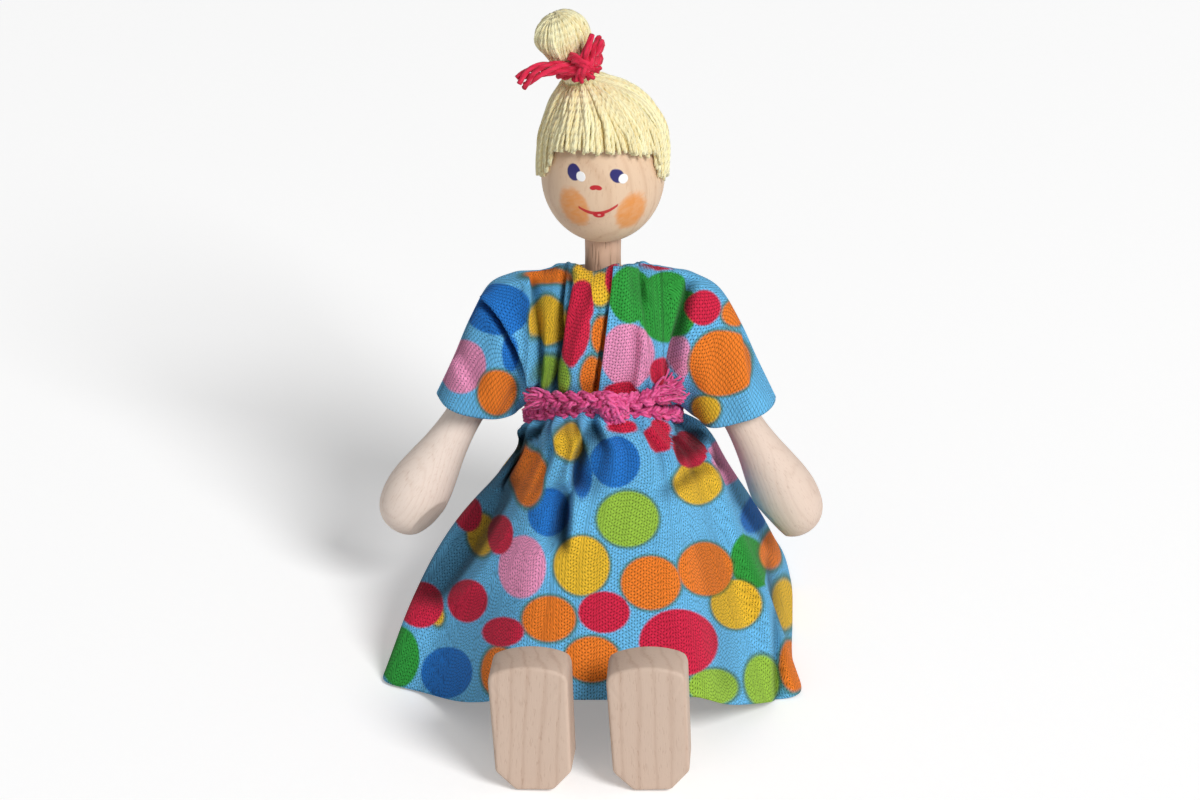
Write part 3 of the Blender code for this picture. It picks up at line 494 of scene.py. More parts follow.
# Mesh building
def grid_quads(rows, columns, round_columns=False, flip=False):
    """The row, column and vertex number of each corner of a grid's quads; a round grid closes on itself."""
    row, column = np.meshgrid(np.arange(rows - 1), np.arange(columns - (not round_columns)), indexing="ij")
    row, column = row.ravel(), column.ravel()
    corner_rows = np.stack([row, row + 1, row + 1, row], axis=1)
    corner_columns = np.stack([column, column, column + 1, column + 1], axis=1)
    if flip:
        corner_rows, corner_columns = corner_rows[:, ::-1], corner_columns[:, ::-1]
    return corner_rows, corner_columns, corner_rows * columns + corner_columns % columns


def scene_object(name, data):
    made = bpy.data.objects.new(name, data)
    bpy.context.scene.collection.objects.link(made)
    return made


def mesh_object(name, points, quads, material, flat=None, extra=()):
    """An object from points in millimetres, quads, a flat map per corner in millimetres, and other faces."""
    mesh = bpy.data.meshes.new(name)
    faces = [*map(tuple, np.asarray(quads).tolist()), *extra]
    mesh.from_pydata((np.asarray(points).reshape(-1, 3) * MM).tolist(), [], faces)
    if flat is not None:
        corners = np.zeros((len(mesh.loops), 2))
        corners[:len(flat)] = flat
        mesh.uv_layers.new(name="flat").uv.foreach_set("vector", corners.astype(np.float32).ravel())
    mesh.polygons.foreach_set("use_smooth", np.ones(len(mesh.polygons), bool))
    mesh.materials.append(material)
    return scene_object(name, mesh)


def point_values(made, label, values):
    """One number for each point of a mesh, for its material to read."""
    field = made.data.attributes.new(label, "FLOAT", "POINT")
    field.data.foreach_set("value", values.astype(np.float32).ravel())


def weld(made, near):
    """Merges points that lie on each other and turns the faces outwards."""
    work = bmesh.new()
    work.from_mesh(made.data)
    bmesh.ops.remove_doubles(work, verts=work.verts, dist=near * MM)
    bmesh.ops.recalc_face_normals(work, faces=work.faces)
    work.to_mesh(made.data)
    work.free()
    return made


def gathered(name, parts):
    """Several objects joined into one piece."""
    whole = parts[0]
    with bpy.context.temp_override(active_object=whole, selected_editable_objects=parts):
        bpy.ops.object.join()
    whole.name = whole.data.name = name
    return whole


def belongs(made, body, *nodes, slot=None):
    """The piece moves with a body and stands for CAD nodes, which it hides; slot is not used."""
    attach(made, body)
    if nodes:
        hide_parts(*nodes)


def revolved(profile, sides):
    """Points (along, around) of a profile of (radius, height) turned about Z, and its faces."""
    angles = np.arange(sides) * TAU / sides
    ring = np.stack([np.cos(angles), np.sin(angles)], axis=1)
    points = np.empty((len(profile), sides, 3))
    points[..., :2] = profile[:, None, :1] * ring[None]
    points[..., 2] = profile[:, None, 1]
    return points, grid_quads(len(profile), sides, True)[2]


# Camera, floor and light
def build_stage():
    """A camera at the photograph's place, a white floor and soft light from the right."""
    scene = bpy.context.scene
    camera = scene_object("camera", bpy.data.cameras.new("camera"))
    camera.location = ((VIEW_TARGET + VIEW_DISTANCE * TOWARD_CAMERA) * MM).tolist()
    camera.rotation_euler = (math.pi / 2 - VIEW_TILT, 0, 0)
    camera.data.sensor_width = SENSOR
    camera.data.lens = SENSOR * VIEW_DISTANCE / PIXEL / PHOTO_WIDE
    camera.data.clip_start, camera.data.clip_end = 0.01, 50.0
    scene.camera = camera
    paper = Finish("white_paper", Roughness=0.9, Emission_Strength=1.0, Specular_IOR_Level=0.1)
    seen = paper.node("ShaderNodeLightPath", out="Is Camera Ray")
    mirrored = paper.node("ShaderNodeLightPath", out="Is Glossy Ray")
    lift = paper.shade(srgb(255, 255, 255), (seen + mirrored) * FLOOR_GLOW)
    grain = paper.noise(paper.place(), 0.8)
    paper.finish(Base_Color=paper.mix(srgb(*PAPER[1]), srgb(*PAPER[0]), grain), Emission_Color=lift)
    across = np.linspace(-FLOOR_HALF, FLOOR_HALF, FLOOR_POINTS)
    x, y = np.meshgrid(across, across)
    points = np.stack([x, y, np.full(x.shape, FLOOR_Z)], axis=-1)
    quads = grid_quads(FLOOR_POINTS, FLOOR_POINTS, flip=True)[2]
    mesh_object("floor", points, quads, paper.material)
    world = bpy.data.worlds.new("studio")
    world.use_nodes = True
    sky = world.node_tree.nodes["Background"].inputs
    sky["Color"].default_value, sky["Strength"].default_value = (1.0, 1.0, 1.0, 1.0), WORLD_LIGHT
    scene.world = world
    lamp = bpy.data.lights.new("key_lamp", "AREA")
    lamp.shape, lamp.size, lamp.energy = "DISK", LAMP_SIZE, LAMP_POWER
    key = scene_object("key_lamp", lamp)
    way = unit(LAMP_WAY)
    key.location = (LAMP_AIM + LAMP_DISTANCE * way).tolist()
    key.rotation_euler = (math.acos(way[2]), 0, math.atan2(way[1], way[0]) + math.pi / 2)
    scene.view_settings.view_transform = "Standard"


# Wood
def wood_colour(finish, turn, centre, shades, layer=2.4, slant=20.0, lines=0.3, fine=1.0):
    """Close-grained wood, its grain along the turned Z: swaying growth layers, fibres and short flecks."""
    pale, tan = (srgb(*shade) for shade in shades)
    at = finish.place(turn, (1, 1, 0.12), centre)
    x, y, _ = finish.split(at)
    sway = finish.noise(at, 0.22)
    depth = x * math.cos(math.radians(slant)) + y * math.sin(math.radians(slant)) + sway * 3.2
    layers = (finish.calc("SINE", depth * (TAU / layer)) * 0.5 + 0.5) ** 5
    fibres = finish.noise(finish.place(turn, (7, 7, 0.35), centre), 1.0, 3.0)
    short = (2.1 * fine, 2.1 * fine, 0.42 * fine)
    flecks = finish.noise(finish.place(turn, short, centre), 1.0).step(0.56, 0.70)
    clouds = finish.noise(finish.place(turn, (1, 1, 0.5), centre), 0.11)
    tone = layers * lines * 0.4 + flecks * 0.2 + (fibres - 0.5) * 0.25 + (clouds - 0.5) * 0.3
    colour = finish.mix(pale, tan, tone.step(-0.15, 1.1))
    return colour, fibres * 0.6 + flecks * -0.5 + layers * -0.3


def maple(name, turn, centre, shades, **grain):
    """Bare sanded maple."""
    finish = Finish(name, Specular_IOR_Level=0.35)
    colour, relief = wood_colour(finish, turn, centre, shades, **grain)
    rough = finish.noise(finish.place(turn, (1, 1, 0.2), centre), 0.9).step(0.2, 0.8) * 0.12 + 0.52
    return finish.finish(Base_Color=colour, Roughness=rough, Normal=finish.bump(relief, 0.03))


def beech():
    """Pinkish dowel wood with fine dark pores along the grain."""
    finish = Finish("beech", Specular_IOR_Level=0.35)
    centre = (9.0, 14.0, 55.0)
    colour, relief = wood_colour(finish, (0, 0, 0), centre, BEECH, layer=1.5, slant=35.0, lines=0.4)
    pores = finish.noise(finish.place(stretch=(3.4, 3.4, 0.22)), 1.0, 3.0).step(0.60, 0.68)
    colour = finish.mix(colour, srgb(*BEECH_PORES), pores * 0.55)
    return finish.finish(Base_Color=colour, Roughness=0.62, Normal=finish.bump(relief - pores, 0.05))


def painted_head():
    """Maple with the face brushed on in thin paint: eyes with white lights, nose, smile and cheeks."""
    finish = Finish("painted_maple", Specular_IOR_Level=0.4)
    colour, relief = wood_colour(finish, (0, 0, 0), (2.0, 30.0, HEAD_Z), FACE_WOOD,
                                 layer=2.3, slant=64.0, lines=0.6, fine=1.5)
    at = finish.place()
    x, y, z = finish.split(at)
    front = y.step(-1.0, -3.0)
    rough_edge = (finish.noise(at, 1.6, 3.0) - 0.5) * 0.16
    brushed = finish.noise(finish.place((0, 24, 0), (0.5, 1, 1.6)), 1.1, 3.0)

    def brush(over, under, gap, soft, strength=1.0):
        covered = (gap + rough_edge).step(1.0 + soft, 1.0 - soft) * front * strength
        return finish.mix(under, srgb(*over), covered)

    for centre, half, tilt in CHEEKS:
        gap = ellipse_gap(finish, x, z, centre, half, tilt) + (brushed - 0.5) * 0.5
        colour = brush(CHEEK_ORANGE, colour, gap, 0.22, brushed.step(0.1, 0.75) * 0.35 + 0.58)
    paint = 0.0
    for shade, centre, half, tilt, soft, thick in EYES_AND_NOSE:
        gap = ellipse_gap(finish, x, z, centre, half, tilt)
        colour = brush(shade, colour, gap, soft)
        paint = paint + gap.step(1.05, 0.85) * thick
    across = x - SMILE_MIDDLE[0]
    line = z - SMILE_MIDDLE[1] - across * SMILE_SLANT - across ** 2 * SMILE_CURVE
    wide = 0.30 - (across / 4.2) ** 2 * 0.24
    smile = (finish.calc("ABSOLUTE", line) - wide + rough_edge * 0.5).step(0.07, -0.07)
    smile = smile * finish.calc("ABSOLUTE", across).step(SMILE_REACH, SMILE_REACH - 0.2)
    colour = finish.mix(colour, srgb(*PAINT_RED), smile * front * 0.95)
    colour = brush(PAINT_RED, colour, ellipse_gap(finish, x, z, *LIP), 0.14)
    colour = brush(LIP_LIGHT, colour, ellipse_gap(finish, x, z, *LIP_SHINE), 0.3, 0.8)
    coat = finish.calc("MINIMUM", paint, 1.0) * front
    height = relief * 0.4 + coat * 1.5
    return finish.finish(Base_Color=colour, Roughness=0.55 - coat * 0.22, Normal=finish.bump(height, 0.03))


def build_head():
    """The egg, half an ellipse below the middle and a taller half above, and the dowel under it."""
    turn = np.linspace(0.002, math.pi - 0.002, EGG_STEPS)
    tall = np.where(turn < math.pi / 2, HEAD_ABOVE, HEAD_BELOW)
    egg = np.stack([HEAD_RADIUS * np.sin(turn), HEAD_Z + tall * np.cos(turn)], axis=1)
    made = weld(mesh_object("head_egg", *revolved(egg, EGG_SIDES), painted_head()), 0.05)
    belongs(made, "head_body", "head", slot="maple")
    places = np.linspace(0, 1, len(NECK_PROFILE))
    dowel = polyline(NECK_PROFILE, places, np.linspace(0, 1, DOWEL_STEPS))
    peg = weld(mesh_object("neck_dowel", *revolved(dowel, DOWEL_SIDES), beech()), 0.05)
    belongs(peg, "head_body", "neck_peg", slot="beech")


def build_arm(side):
    """A turned arm: a profile about its own axis, pressed flat beyond the palm's plane and splayed out."""
    name = "left_arm" if side > 0 else "right_arm"
    along = ARM_SHARES * ARM_LENGTH
    places = run_length(np.stack([along, ARM_RADII], axis=1))
    fine = np.linspace(0, places[-1], ARM_STEPS)
    profile = np.stack([np.maximum(table(places, ARM_RADII, fine), 0), -table(places, along, fine)], axis=1)
    points, faces = revolved(profile, ARM_SIDES)
    lean = turn_matrix("X", -ARM_FORWARD) @ turn_matrix("Y", -side * ARM_SPLAY[side])
    palm = turn_matrix("Z", side * PALM_FACING[side]) @ turn_matrix("Y", -side * PALM_SLOPE)
    inward = palm @ np.array([-side, 0, 0])
    from_hand = points + np.array([0, 0, HAND_AT * ARM_LENGTH])
    beyond = np.maximum(from_hand @ inward - (HAND_RADIUS - PALM_DEPTH), 0)
    points = points - beyond[..., None] * inward
    shoulder = np.array([side * ARM_X, 0, SHOULDER_Z])
    points = points @ lean.T + shoulder
    centre = shoulder + lean @ np.array([side * 5.0, 3.0, -38.0])
    # Each arm takes its own copy of the maple, lighter or darker: painted light and painted shade
    finish = maple(f"{name}_maple", (0, side * ARM_SPLAY[side], 0), centre, LIT_AND_SHADED_ARM_WOOD[side],
                   layer=0.75, slant=-side * 38.0, lines=0.36, fine=2.2)
    made = weld(mesh_object(f"{name}_turned", points, faces, finish), 0.04)
    made.data.set_sharp_from_angle(angle=math.radians(PALM_EDGE))
    belongs(made, f"{name}_body", name, slot="maple")


def foot_outline(count):
    """Points (across, up) round the sawn plate: chamfered heel, upright sides and a parabola at the toe end.

    Three rounds of averaging between neighbours soften its corners."""
    half, tall = FOOT_WIDTH / 2, FOOT_HEIGHT
    right = [(half - HEEL_CHAMFER, 0), (half * 0.96, HEEL_CHAMFER), (half, tall - FOOT_ARCH - 1.0),
             (half * 0.94, tall - FOOT_ARCH)]
    right += [(half * part, tall - FOOT_ARCH * part ** 2) for part in (0.75, 0.5, 0.25, 0.0)]
    corners = np.array(right + [(-x, z) for x, z in right[-2::-1]] + right[:1])
    places = run_length(corners)
    outline = polyline(corners, places, np.arange(count) * places[-1] / count)
    for _ in range(3):
        outline = (np.roll(outline, 1, 0) + 2 * outline + np.roll(outline, -1, 0)) / 4
    return outline


def build_foot(side):
    """The sawn plate: its outline carried through the thickness, with a quarter-round edge on both faces."""
    name = "left_foot" if side > 0 else "right_foot"
    outline = foot_outline(FOOT_STEPS)
    ahead = np.roll(outline, -1, 0) - np.roll(outline, 1, 0)
    inward = unit(np.stack([-ahead[:, 1], ahead[:, 0]], axis=1))
    soft = FOOT_EDGE * 1.25
    arc = np.linspace(0, math.pi / 2, FOOT_EDGE_STEPS)
    front = [(soft * (1 - math.sin(a)), -FOOT_THICKNESS + soft * (1 - math.cos(a))) for a in arc]
    back = [(inset, -FOOT_THICKNESS - depth) for inset, depth in front[::-1]]
    middle = outline.mean(0)
    centre = [middle + (outline - middle) * part for part in (0.0, 0.25, 0.5, 0.75)]
    layers = [(ring, -FOOT_THICKNESS) for ring in centre]
    layers += [(outline + inset * inward, depth) for inset, depth in front + back]
    layers += [(ring, 0.0) for ring in centre[::-1]]
    points = np.array([np.insert(ring, 1, depth, axis=1) for ring, depth in layers])
    groove = smooth(0.9, 0.0, np.abs(points[..., 2] - FOOT_HEIGHT + GROOVE_DOWN) / GROOVE_HALF)
    points[..., 1] += GROOVE_DEEP * groove * (points[..., 1] < -FOOT_THICKNESS + 0.3)
    points[..., 2] += FOOT_LIFT + FOOT_WIDTH * 0.25 * math.sin(math.radians(FOOT_LEAN)) - HIP_Z
    lean = turn_matrix("Z", -FOOT_TURN) @ turn_matrix("Y", -FOOT_LEAN)
    points = points @ lean.T + np.array([0, -FOOT_BACK, 0])
    points = points @ turn_matrix("Z", side * LEG_SPLAY[side]).T + np.array([side * HIP_X, 0, HIP_Z])
    # Foot maple darkened: partly the wood's own tone, partly painted shade
    finish = maple(f"{name}_maple", (4, 2 * side, 0), (side * HIP_X + 9, -42, 4), FOOT_WOOD_AND_PAINTED_SHADE,
                   layer=2.2, slant=12.0, lines=0.6, fine=1.7)
    quads = grid_quads(len(layers), len(outline), True)[2]
    made = weld(mesh_object(f"{name}_plate", points, quads, finish), 0.03)
    belongs(made, name.replace("foot", "leg_body"), name, slot="maple")


def finish_hidden_wood():
    """Body, legs and elastic keep their solids, with bare wood and a ribbed elastic on them."""
    elastic = Finish("elastic", Specular_IOR_Level=0.2)
    x, _, _ = elastic.split(elastic.place())
    ribs = elastic.calc("SINE", x * (TAU / 0.5)) * 0.5 + 0.5
    colour = elastic.mix(srgb(*ELASTIC[1]), srgb(*ELASTIC[0]), ribs)
    elastic.finish(Base_Color=colour, Roughness=0.8, Normal=elastic.bump(ribs, 0.08))
    finishes = {"shoulder_cord": elastic.material, "hip_cord": elastic.material}
    for name, turn in (("torso", (0, 0, 0)), ("left_leg", (90, 0, 0)), ("right_leg", (90, 0, 0))):
        finishes[name] = maple(f"{name}_maple", turn, (14, 9, 12), MAPLE, layer=2.8)
    for name, material in finishes.items():
        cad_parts[name].material_slots[0].material = material


# Printed cotton
def cotton():
    """Plain weave with dots: an ink covers the cloth where the distance to its next dot is below 0.
    The weave's tone holds painted shade in the gaps between threads and in fold valleys, and a painted
    highlight and shade in a checker on the crossing threads.
    """
    finish = Finish("printed_cotton", Roughness=0.9, Specular_IOR_Level=0.12, Sheen_Weight=0.06,
                    Sheen_Roughness=0.5)
    flat = finish.flat_map()
    u, v, _ = finish.split(flat)
    wander = finish.noise(flat, 0.35)
    warp = finish.calc("SINE", (u + wander * 0.5) * (math.pi / WARP_PITCH))
    weft = finish.calc("SINE", (v + wander * 0.4) * (math.pi / WEFT_PITCH))
    warp_crown, weft_crown = finish.calc("ABSOLUTE", warp), finish.calc("ABSOLUTE", weft)
    # Which thread lies over: in the tone it lightens one set of crossings as a painted highlight and darkens
    # the other as painted shade
    over = warp * weft
    # Painted shade in the gaps between threads
    gaps = warp_crown.step(0.86, 0.20) * weft_crown.step(0.86, 0.20)
    slubs = finish.noise(finish.vector("MULTIPLY", flat, (2.4, 0.16, 1.0)), 1.0)
    bleed = (finish.noise(flat, 1.9) - 0.5) * 0.12 + over * 0.03
    colour = srgb(*CLOTH_BLUE)
    for ink, shade in INKS.items():
        gap = finish.attribute(f"dots_{ink}") + bleed
        if ink in GREEN_RIMS:
            rim = gap.step(0.62, 0.10) * gap.step(-0.40, 0.05)
            colour = finish.mix(colour, srgb(*RIM_OLIVE), rim * 0.72)
        colour = finish.mix(colour, srgb(*shade), gap.step(0.20, -0.22))
    # Painted shade in the valleys of folds, which darkens the cloth's tone
    hollow = finish.attribute("hollow")
    tone = (1.11 - gaps * 0.98 + over * 0.17 + (slubs - 0.5) * 0.30) * (1 - hollow * HOLLOW_SHADE)
    height = warp_crown * over.step(0.25, -0.25) + weft_crown * over.step(-0.25, 0.25)
    return finish.finish(Base_Color=finish.shade(colour, tone), Normal=finish.bump(height, 0.06))


COTTON = cotton()


def flat_map(points, middle):
    """The cloth laid flat: the length along each row from a middle column, and the steps across the rows."""
    u = run_length(points)
    u -= u[:, middle:middle + 1]
    tangent = unit(np.gradient(points, axis=1))[1:]
    move = np.diff(points, axis=0)
    across = move - np.sum(move * tangent, axis=2, keepdims=True) * tangent
    v = np.concatenate([np.zeros((1, points.shape[1])), np.cumsum(np.linalg.norm(across, axis=2), axis=0)])
    return u, v


def grid_normals(points):
    """Directions out of a grid: the cross product of its steps along and across the rows, at length 1."""
    return unit(np.cross(np.gradient(points, axis=1), np.gradient(points, axis=0)))


def print_dots(points, laid, facing, seen, spare):
    """Distance in millimetres from each cloth point to the next dot of each ink, below 0 inside it.

    A dot of the photograph is centred on the nearest cloth point that the camera sees. Distances are taken
    on the cloth laid smooth, in half widths and half heights of the view and larger steps along it. Cloth
    that the camera doesn't see gets round dots at random places, clear of one another."""
    column, row, far = photo_pixels(points)
    smooth_view = np.stack(photo_pixels(laid), axis=-1) / np.array([1, 1, PIXEL])
    fields = {ink: np.full(column.shape, FAR_FROM_DOTS) for ink in INKS}
    taken = []
    for ink, at_column, at_row, wide, tall in ((ink, *dot) for ink, dots in seen.items() for dot in dots):
        miss = np.hypot(column - at_column, row - at_row)
        cost = miss * 0.6 + (far - far.min()) * 0.25 + np.where(facing > 0.05, 0, 40)
        spot = np.unravel_index(np.argmin(np.where(miss < miss.min() + 3.0, cost, 1e9)), column.shape)
        size = np.array([wide, tall, 5.0 * max(wide, tall)])
        gap = np.linalg.norm((smooth_view - smooth_view[spot]) / size, axis=-1) - 1
        fields[ink] = np.minimum(fields[ink], gap * min(wide, tall) * PIXEL)
        taken.append((laid[spot], max(wide, tall) * PIXEL))
    hidden = np.argwhere(facing < 0)
    shown = laid[facing > 0][::5]
    for spot in map(tuple, hidden[chance.permutation(len(hidden))][:6000]):
        size = chance.uniform(*SPARE_DOT_RADII)
        gaps = [np.linalg.norm(laid[spot] - centre) - size - reach * 0.9 for centre, reach in taken]
        clear = np.linalg.norm(shown - laid[spot], axis=1).min(initial=9.0) - size
        if spare == 0 or min(gaps, default=1.0) < 0.1 or clear < 0:
            continue
        spare -= 1
        taken.append((laid[spot], size))
        ink = list(INKS)[chance.integers(len(INKS))]
        fields[ink] = np.minimum(fields[ink], np.linalg.norm(laid - laid[spot], axis=-1) - size)
    return {f"dots_{ink}": gap for ink, gap in fields.items()}


def cloth_object(name, points, laid, raised, middle, seen, spare, flip=False, sewn_to=None):
    """A grid of cloth with its flat map, its printed dots and painted shade, darker the deeper each point
    lies in a fold.

    The first and last rows of a grid that is sewn to another one carry that grid's dots."""
    u, v = flat_map(points, middle)
    facing = grid_normals(laid) @ TOWARD_CAMERA * (1 if flip else -1)
    rows, columns, quads = grid_quads(*points.shape[:2], flip=flip)
    flat = np.stack([u[rows, columns], v[rows, columns]], axis=-1).reshape(-1, 2)
    made = mesh_object(name, points, quads, COTTON, flat)
    fields = print_dots(points, laid, facing, seen, spare)
    # Painted shade in folds: 0 where the cloth stands out, growing to 1 where it lies HOLLOW_DEPTH in
    fields["hollow"] = np.clip(-raised / HOLLOW_DEPTH, 0, 1)
    for label, values in fields.items():
        if sewn_to:
            values[[0, -1]] = sewn_to[label][[0, -1]]
        point_values(made, label, values)
    return made, fields


def thicken(made):
    """Gives the sheet its thickness, inwards from its printed face."""
    wall = made.modifiers.new("cloth", "SOLIDIFY")
    wall.thickness, wall.offset = CLOTH_THICK * MM, -1.0
    return made


def photo_folds(points, folds):
    """How far folds seen in the photograph stand out, in millimetres.

    A fold's heights on the two sides of its line fade away from it as a bell does, and past its ends."""
    column, row, _ = photo_pixels(points)
    raised = np.zeros(column.shape)
    for rows, columns, left_height, left_width, right_height, right_width in folds:
        away = column - table(rows, columns, row)
        left, right = left_height * bell(away, 0, left_width), right_height * bell(away, 0, right_width)
        soft = 0.3 * min(left_width, right_width)
        beside = smooth(-soft, soft, away)
        ends = smooth(rows[0] - 10, rows[0] + 8, row) * smooth(rows[-1] + 14, rows[-1] - 14, row)
        raised += (left * (1 - beside) + right * beside) * ends
    return raised


def skirt_fullness(angle, part):
    """How far the cloth bells out: half a sine wave from waist to hem, most at the two sides."""
    sides = 0.75 * ridge(angle, -80, 38) + 0.30 * ridge(angle, 80, 38)
    return 1.9 * np.sin(math.pi * part) * (0.25 + sides)


def skirt_gathers(angle, part):
    """How far the other folds stand out.

    Two cosines of the angle make the gathers under the belt, a slower one the waves behind, and a sine the
    hem's. Bells and steps of the angle and of the way down fade them in and out."""
    around = np.radians(angle)
    gathers = 0.60 * np.cos(17 * around + 1.4 * np.sin(3 * around)) + 0.36 * np.cos(29 * around + 1.3)
    gathers = gathers * bell(part, 0.10, 0.17) * smooth(0, 0.08, part) * (1 - 0.7 * ridge(angle, 75, 38))
    behind = np.cos(9 * around + 0.6 * np.sin(2 * around)) * ridge(angle, 180, 82)
    behind = (0.35 + np.sin(math.pi * part)) * smooth(0.04, 0.3, part) * behind * 1.1
    hem = 0.35 * np.sin(7 * around + 1.0) * smooth(0.7, 1.0, part) * smooth(60, 100, np.abs(angle))
    return gathers + behind + hem


def skirt_fall(angle, part, push):
    """Falls from the waist's oval at an angle to the hem there, each point pushed outwards and a little up.

    Out and down go with powers of the way passed, and a bell of it sways the upper skirt to the left."""
    hem_x, hem_y, lift = (table(HEM_MARKS[:, 0], HEM_MARKS[:, axis], angle) for axis in (1, 2, 3))
    hem_z = HEM_Z + (HEM_OVER_LEGS - HEM_Z) * np.clip(lift, 0, 1)
    around = np.radians(angle)
    ahead = np.stack([np.sin(around), -np.cos(around)], axis=-1)
    waist = ahead * np.array([WAIST_WIDE, WAIST_DEEP])
    out, down = part ** 0.92, part ** 1.06
    sway = 2.0 * smooth(0.05, 0.18, part) * bell(part, 0.17, 0.22)
    x = waist[..., 0] + (hem_x - waist[..., 0]) * out + sway
    y = waist[..., 1] + (hem_y - waist[..., 1]) * out
    top = WAIST_Z - 0.2 - waist_drop(around)
    z = top + (hem_z - top) * down
    raised = 0.35 * push * smooth(1.0, 0.8, part)
    return np.stack([x + push * ahead[..., 0], y + push * ahead[..., 1], z + raised], axis=-1)


def skirt_points():
    """The skirt folded and laid smooth, how far its folds stand out, and its middle column.

    Columns lie closer at the front corners: the running sum of a density with a bell at each spreads them.
    The photograph's folds are added along its view."""
    fine = np.linspace(-180, 180, 2000)
    density = 1 + 1.6 * bell(fine, 62, 18) + 1.6 * bell(fine, -58, 20) + 0.6 * (np.abs(fine) < 80)
    spread = np.concatenate([[0], np.cumsum((density[1:] + density[:-1]) / 2)])
    angle = np.interp(np.linspace(0, spread[-1], SKIRT_COLUMNS), spread, fine)
    middle = int(np.argmin(np.abs(angle)))
    part = np.linspace(0, 1, SKIRT_ROWS)[:, None]
    angle = np.broadcast_to(angle, (SKIRT_ROWS, SKIRT_COLUMNS))
    full, gathers = skirt_fullness(angle, part), skirt_gathers(angle, part)
    laid = skirt_fall(angle, part, full)
    front = smooth(125, 100, np.abs(angle)) * smooth(0.0, 0.06, part)
    relief = photo_folds(laid, SKIRT_FOLDS) * front
    points = skirt_fall(angle, part, full + gathers) + relief[..., None] * TOWARD_CAMERA
    points[..., 2] = np.maximum(points[..., 2], HEM_Z)
    return points, laid, gathers + relief, middle


def build_skirt():
    """The skirt's grid as printed cloth, merged where it meets behind, with its thickness."""
    made, _ = cloth_object("dress_skirt", *skirt_points(), SKIRT_DOTS, SPARE_SKIRT_DOTS)
    thicken(weld(made, 0.002))
    belongs(made, "torso_body", "skirt", slot="printed_cotton")


def top_gathers(side, back, across, up, body):
    """How far the other folds stand out.

    Cosines across the panel make gathers that fade away from belt and neck. Slack on the body and waves on
    sleeve and cuff are cosines and sines that half a sine wave holds to 0 at both edges."""
    phase = 0.7 * side + 1.9 * back
    still = (smooth(0.0, 0.06, across) * 0.7 + 0.3) * smooth(0.44, 0.36, across)
    waist = 0.34 * np.cos(TAU * 13 * across + 1.6 * np.sin(TAU * 3 * across + phase)) * np.exp(-up / 0.16)
    neck = 0.10 * np.cos(TAU * 9 * across + 1.5 * np.sin(TAU * 2 * across + phase)) * smooth(0.6, 0.98, up)
    swell = np.sin(math.pi * up)
    slack = (0.7 if back else 0.15) * np.cos(TAU * 7.5 * across + 1.1 * up + phase) * swell * body
    sleeve = 0.30 * np.sin(TAU * (2.4 * up + 1.5 * across) + phase) * smooth(0.55, 0.75, across)
    cuff = 0.35 * np.cos(TAU * 2 * up + 2 * phase) * smooth(0.88, 1.0, across)
    return still * (waist + neck) + slack + (sleeve + cuff) * swell ** 0.5


def top_panel(side, back):
    """Front or back of half the dress top, folded and laid smooth, and how far its folds stand out.

    Columns run from the body's middle to the cuff. Rows run from the lower edge, which follows the waist,
    climbs the side and goes on under the sleeve, to the upper edge along neckline, shoulder and sleeve. Each
    column is half an oval between the two: a power of half a sine wave takes it out to its full depth, boxy
    on the body and round on the sleeve."""
    left = side > 0
    across = np.linspace(0, 1, TOP_COLUMNS)[None, :]
    up = np.linspace(0, 1, TOP_ROWS)[:, None]
    sleeve = smooth(0.45, 1.0, across)
    shift = (0.9 if left else 0.0) * sleeve
    turn = np.radians(90 * np.clip(across / NECK_SHARE, 0, 1))
    notch = 0 if left else 1.6 * bell(across, 0.11, 0.05)
    neck_tall = -3.0 if back else 2.3 - notch
    low_shoulder = (0.4 if left else 0.9) * bell(across, 0.45, 0.12)
    top_x = table(UPPER_SHARES, UPPER_X, across) + shift
    top_x = np.where(across < NECK_SHARE, NECK_HALF * np.sin(turn), top_x)
    top_y = NECK_DEEP * np.cos(turn)
    top_z = table(UPPER_SHARES, UPPER_Z, across) - shift - low_shoulder + neck_tall * np.cos(turn)
    turn = np.radians(90 * np.clip(across / WAIST_SHARE, 0, 1))
    waist_z = WAIST_Z + 0.2 - waist_drop(math.pi - turn if back else turn)
    low_x = table(LOWER_SHARES, LOWER_X, across) + 0.9 * shift
    low_x = np.where(across < WAIST_SHARE, TOP_HALF * np.sin(turn), low_x)
    low_y = TOP_DEEP * np.cos(turn)
    low_z = table(LOWER_SHARES[1:], LOWER_Z, across) - 1.4 * shift
    low_z = np.where(across < WAIST_SHARE, waist_z, low_z)
    body = 1 - smooth(0.38, 0.58, across)
    height = (1 - body) * (1 - np.cos(math.pi * up)) / 2 + body * up
    round_part = np.sin(math.pi * up) ** (1 - 0.42 * body)
    x = low_x + (top_x - low_x) * height
    deep = table(DEPTH_SHARES, DEPTHS, across)
    y = round_part * deep + (1 - round_part) * (low_y + (top_y - low_y) * height)
    z = low_z + (top_z - low_z) * height
    if not back:
        x = x + (2.3 * up - 0.8 if left else -2.4) * smooth(0.26, 0.0, across)
        y = y + (0.45 if left else -0.35) * smooth(0.24, 0.05, across)
    droop = -0.9 * sleeve
    points = np.stack([side * x, (y if back else -y) + droop, z], axis=-1)
    outward = grid_normals(points) * side * (-1 if back else 1)
    raised = top_gathers(side, back, across, up, body)
    if not back:
        shown = smooth(0.1, 0.5, outward @ TOWARD_CAMERA) * smooth(0.0, 0.12, up) * smooth(1.0, 0.9, up)
        raised = raised + photo_folds(points, TOP_FOLDS[side]) * shown
    return points + raised[..., None] * outward, points, raised


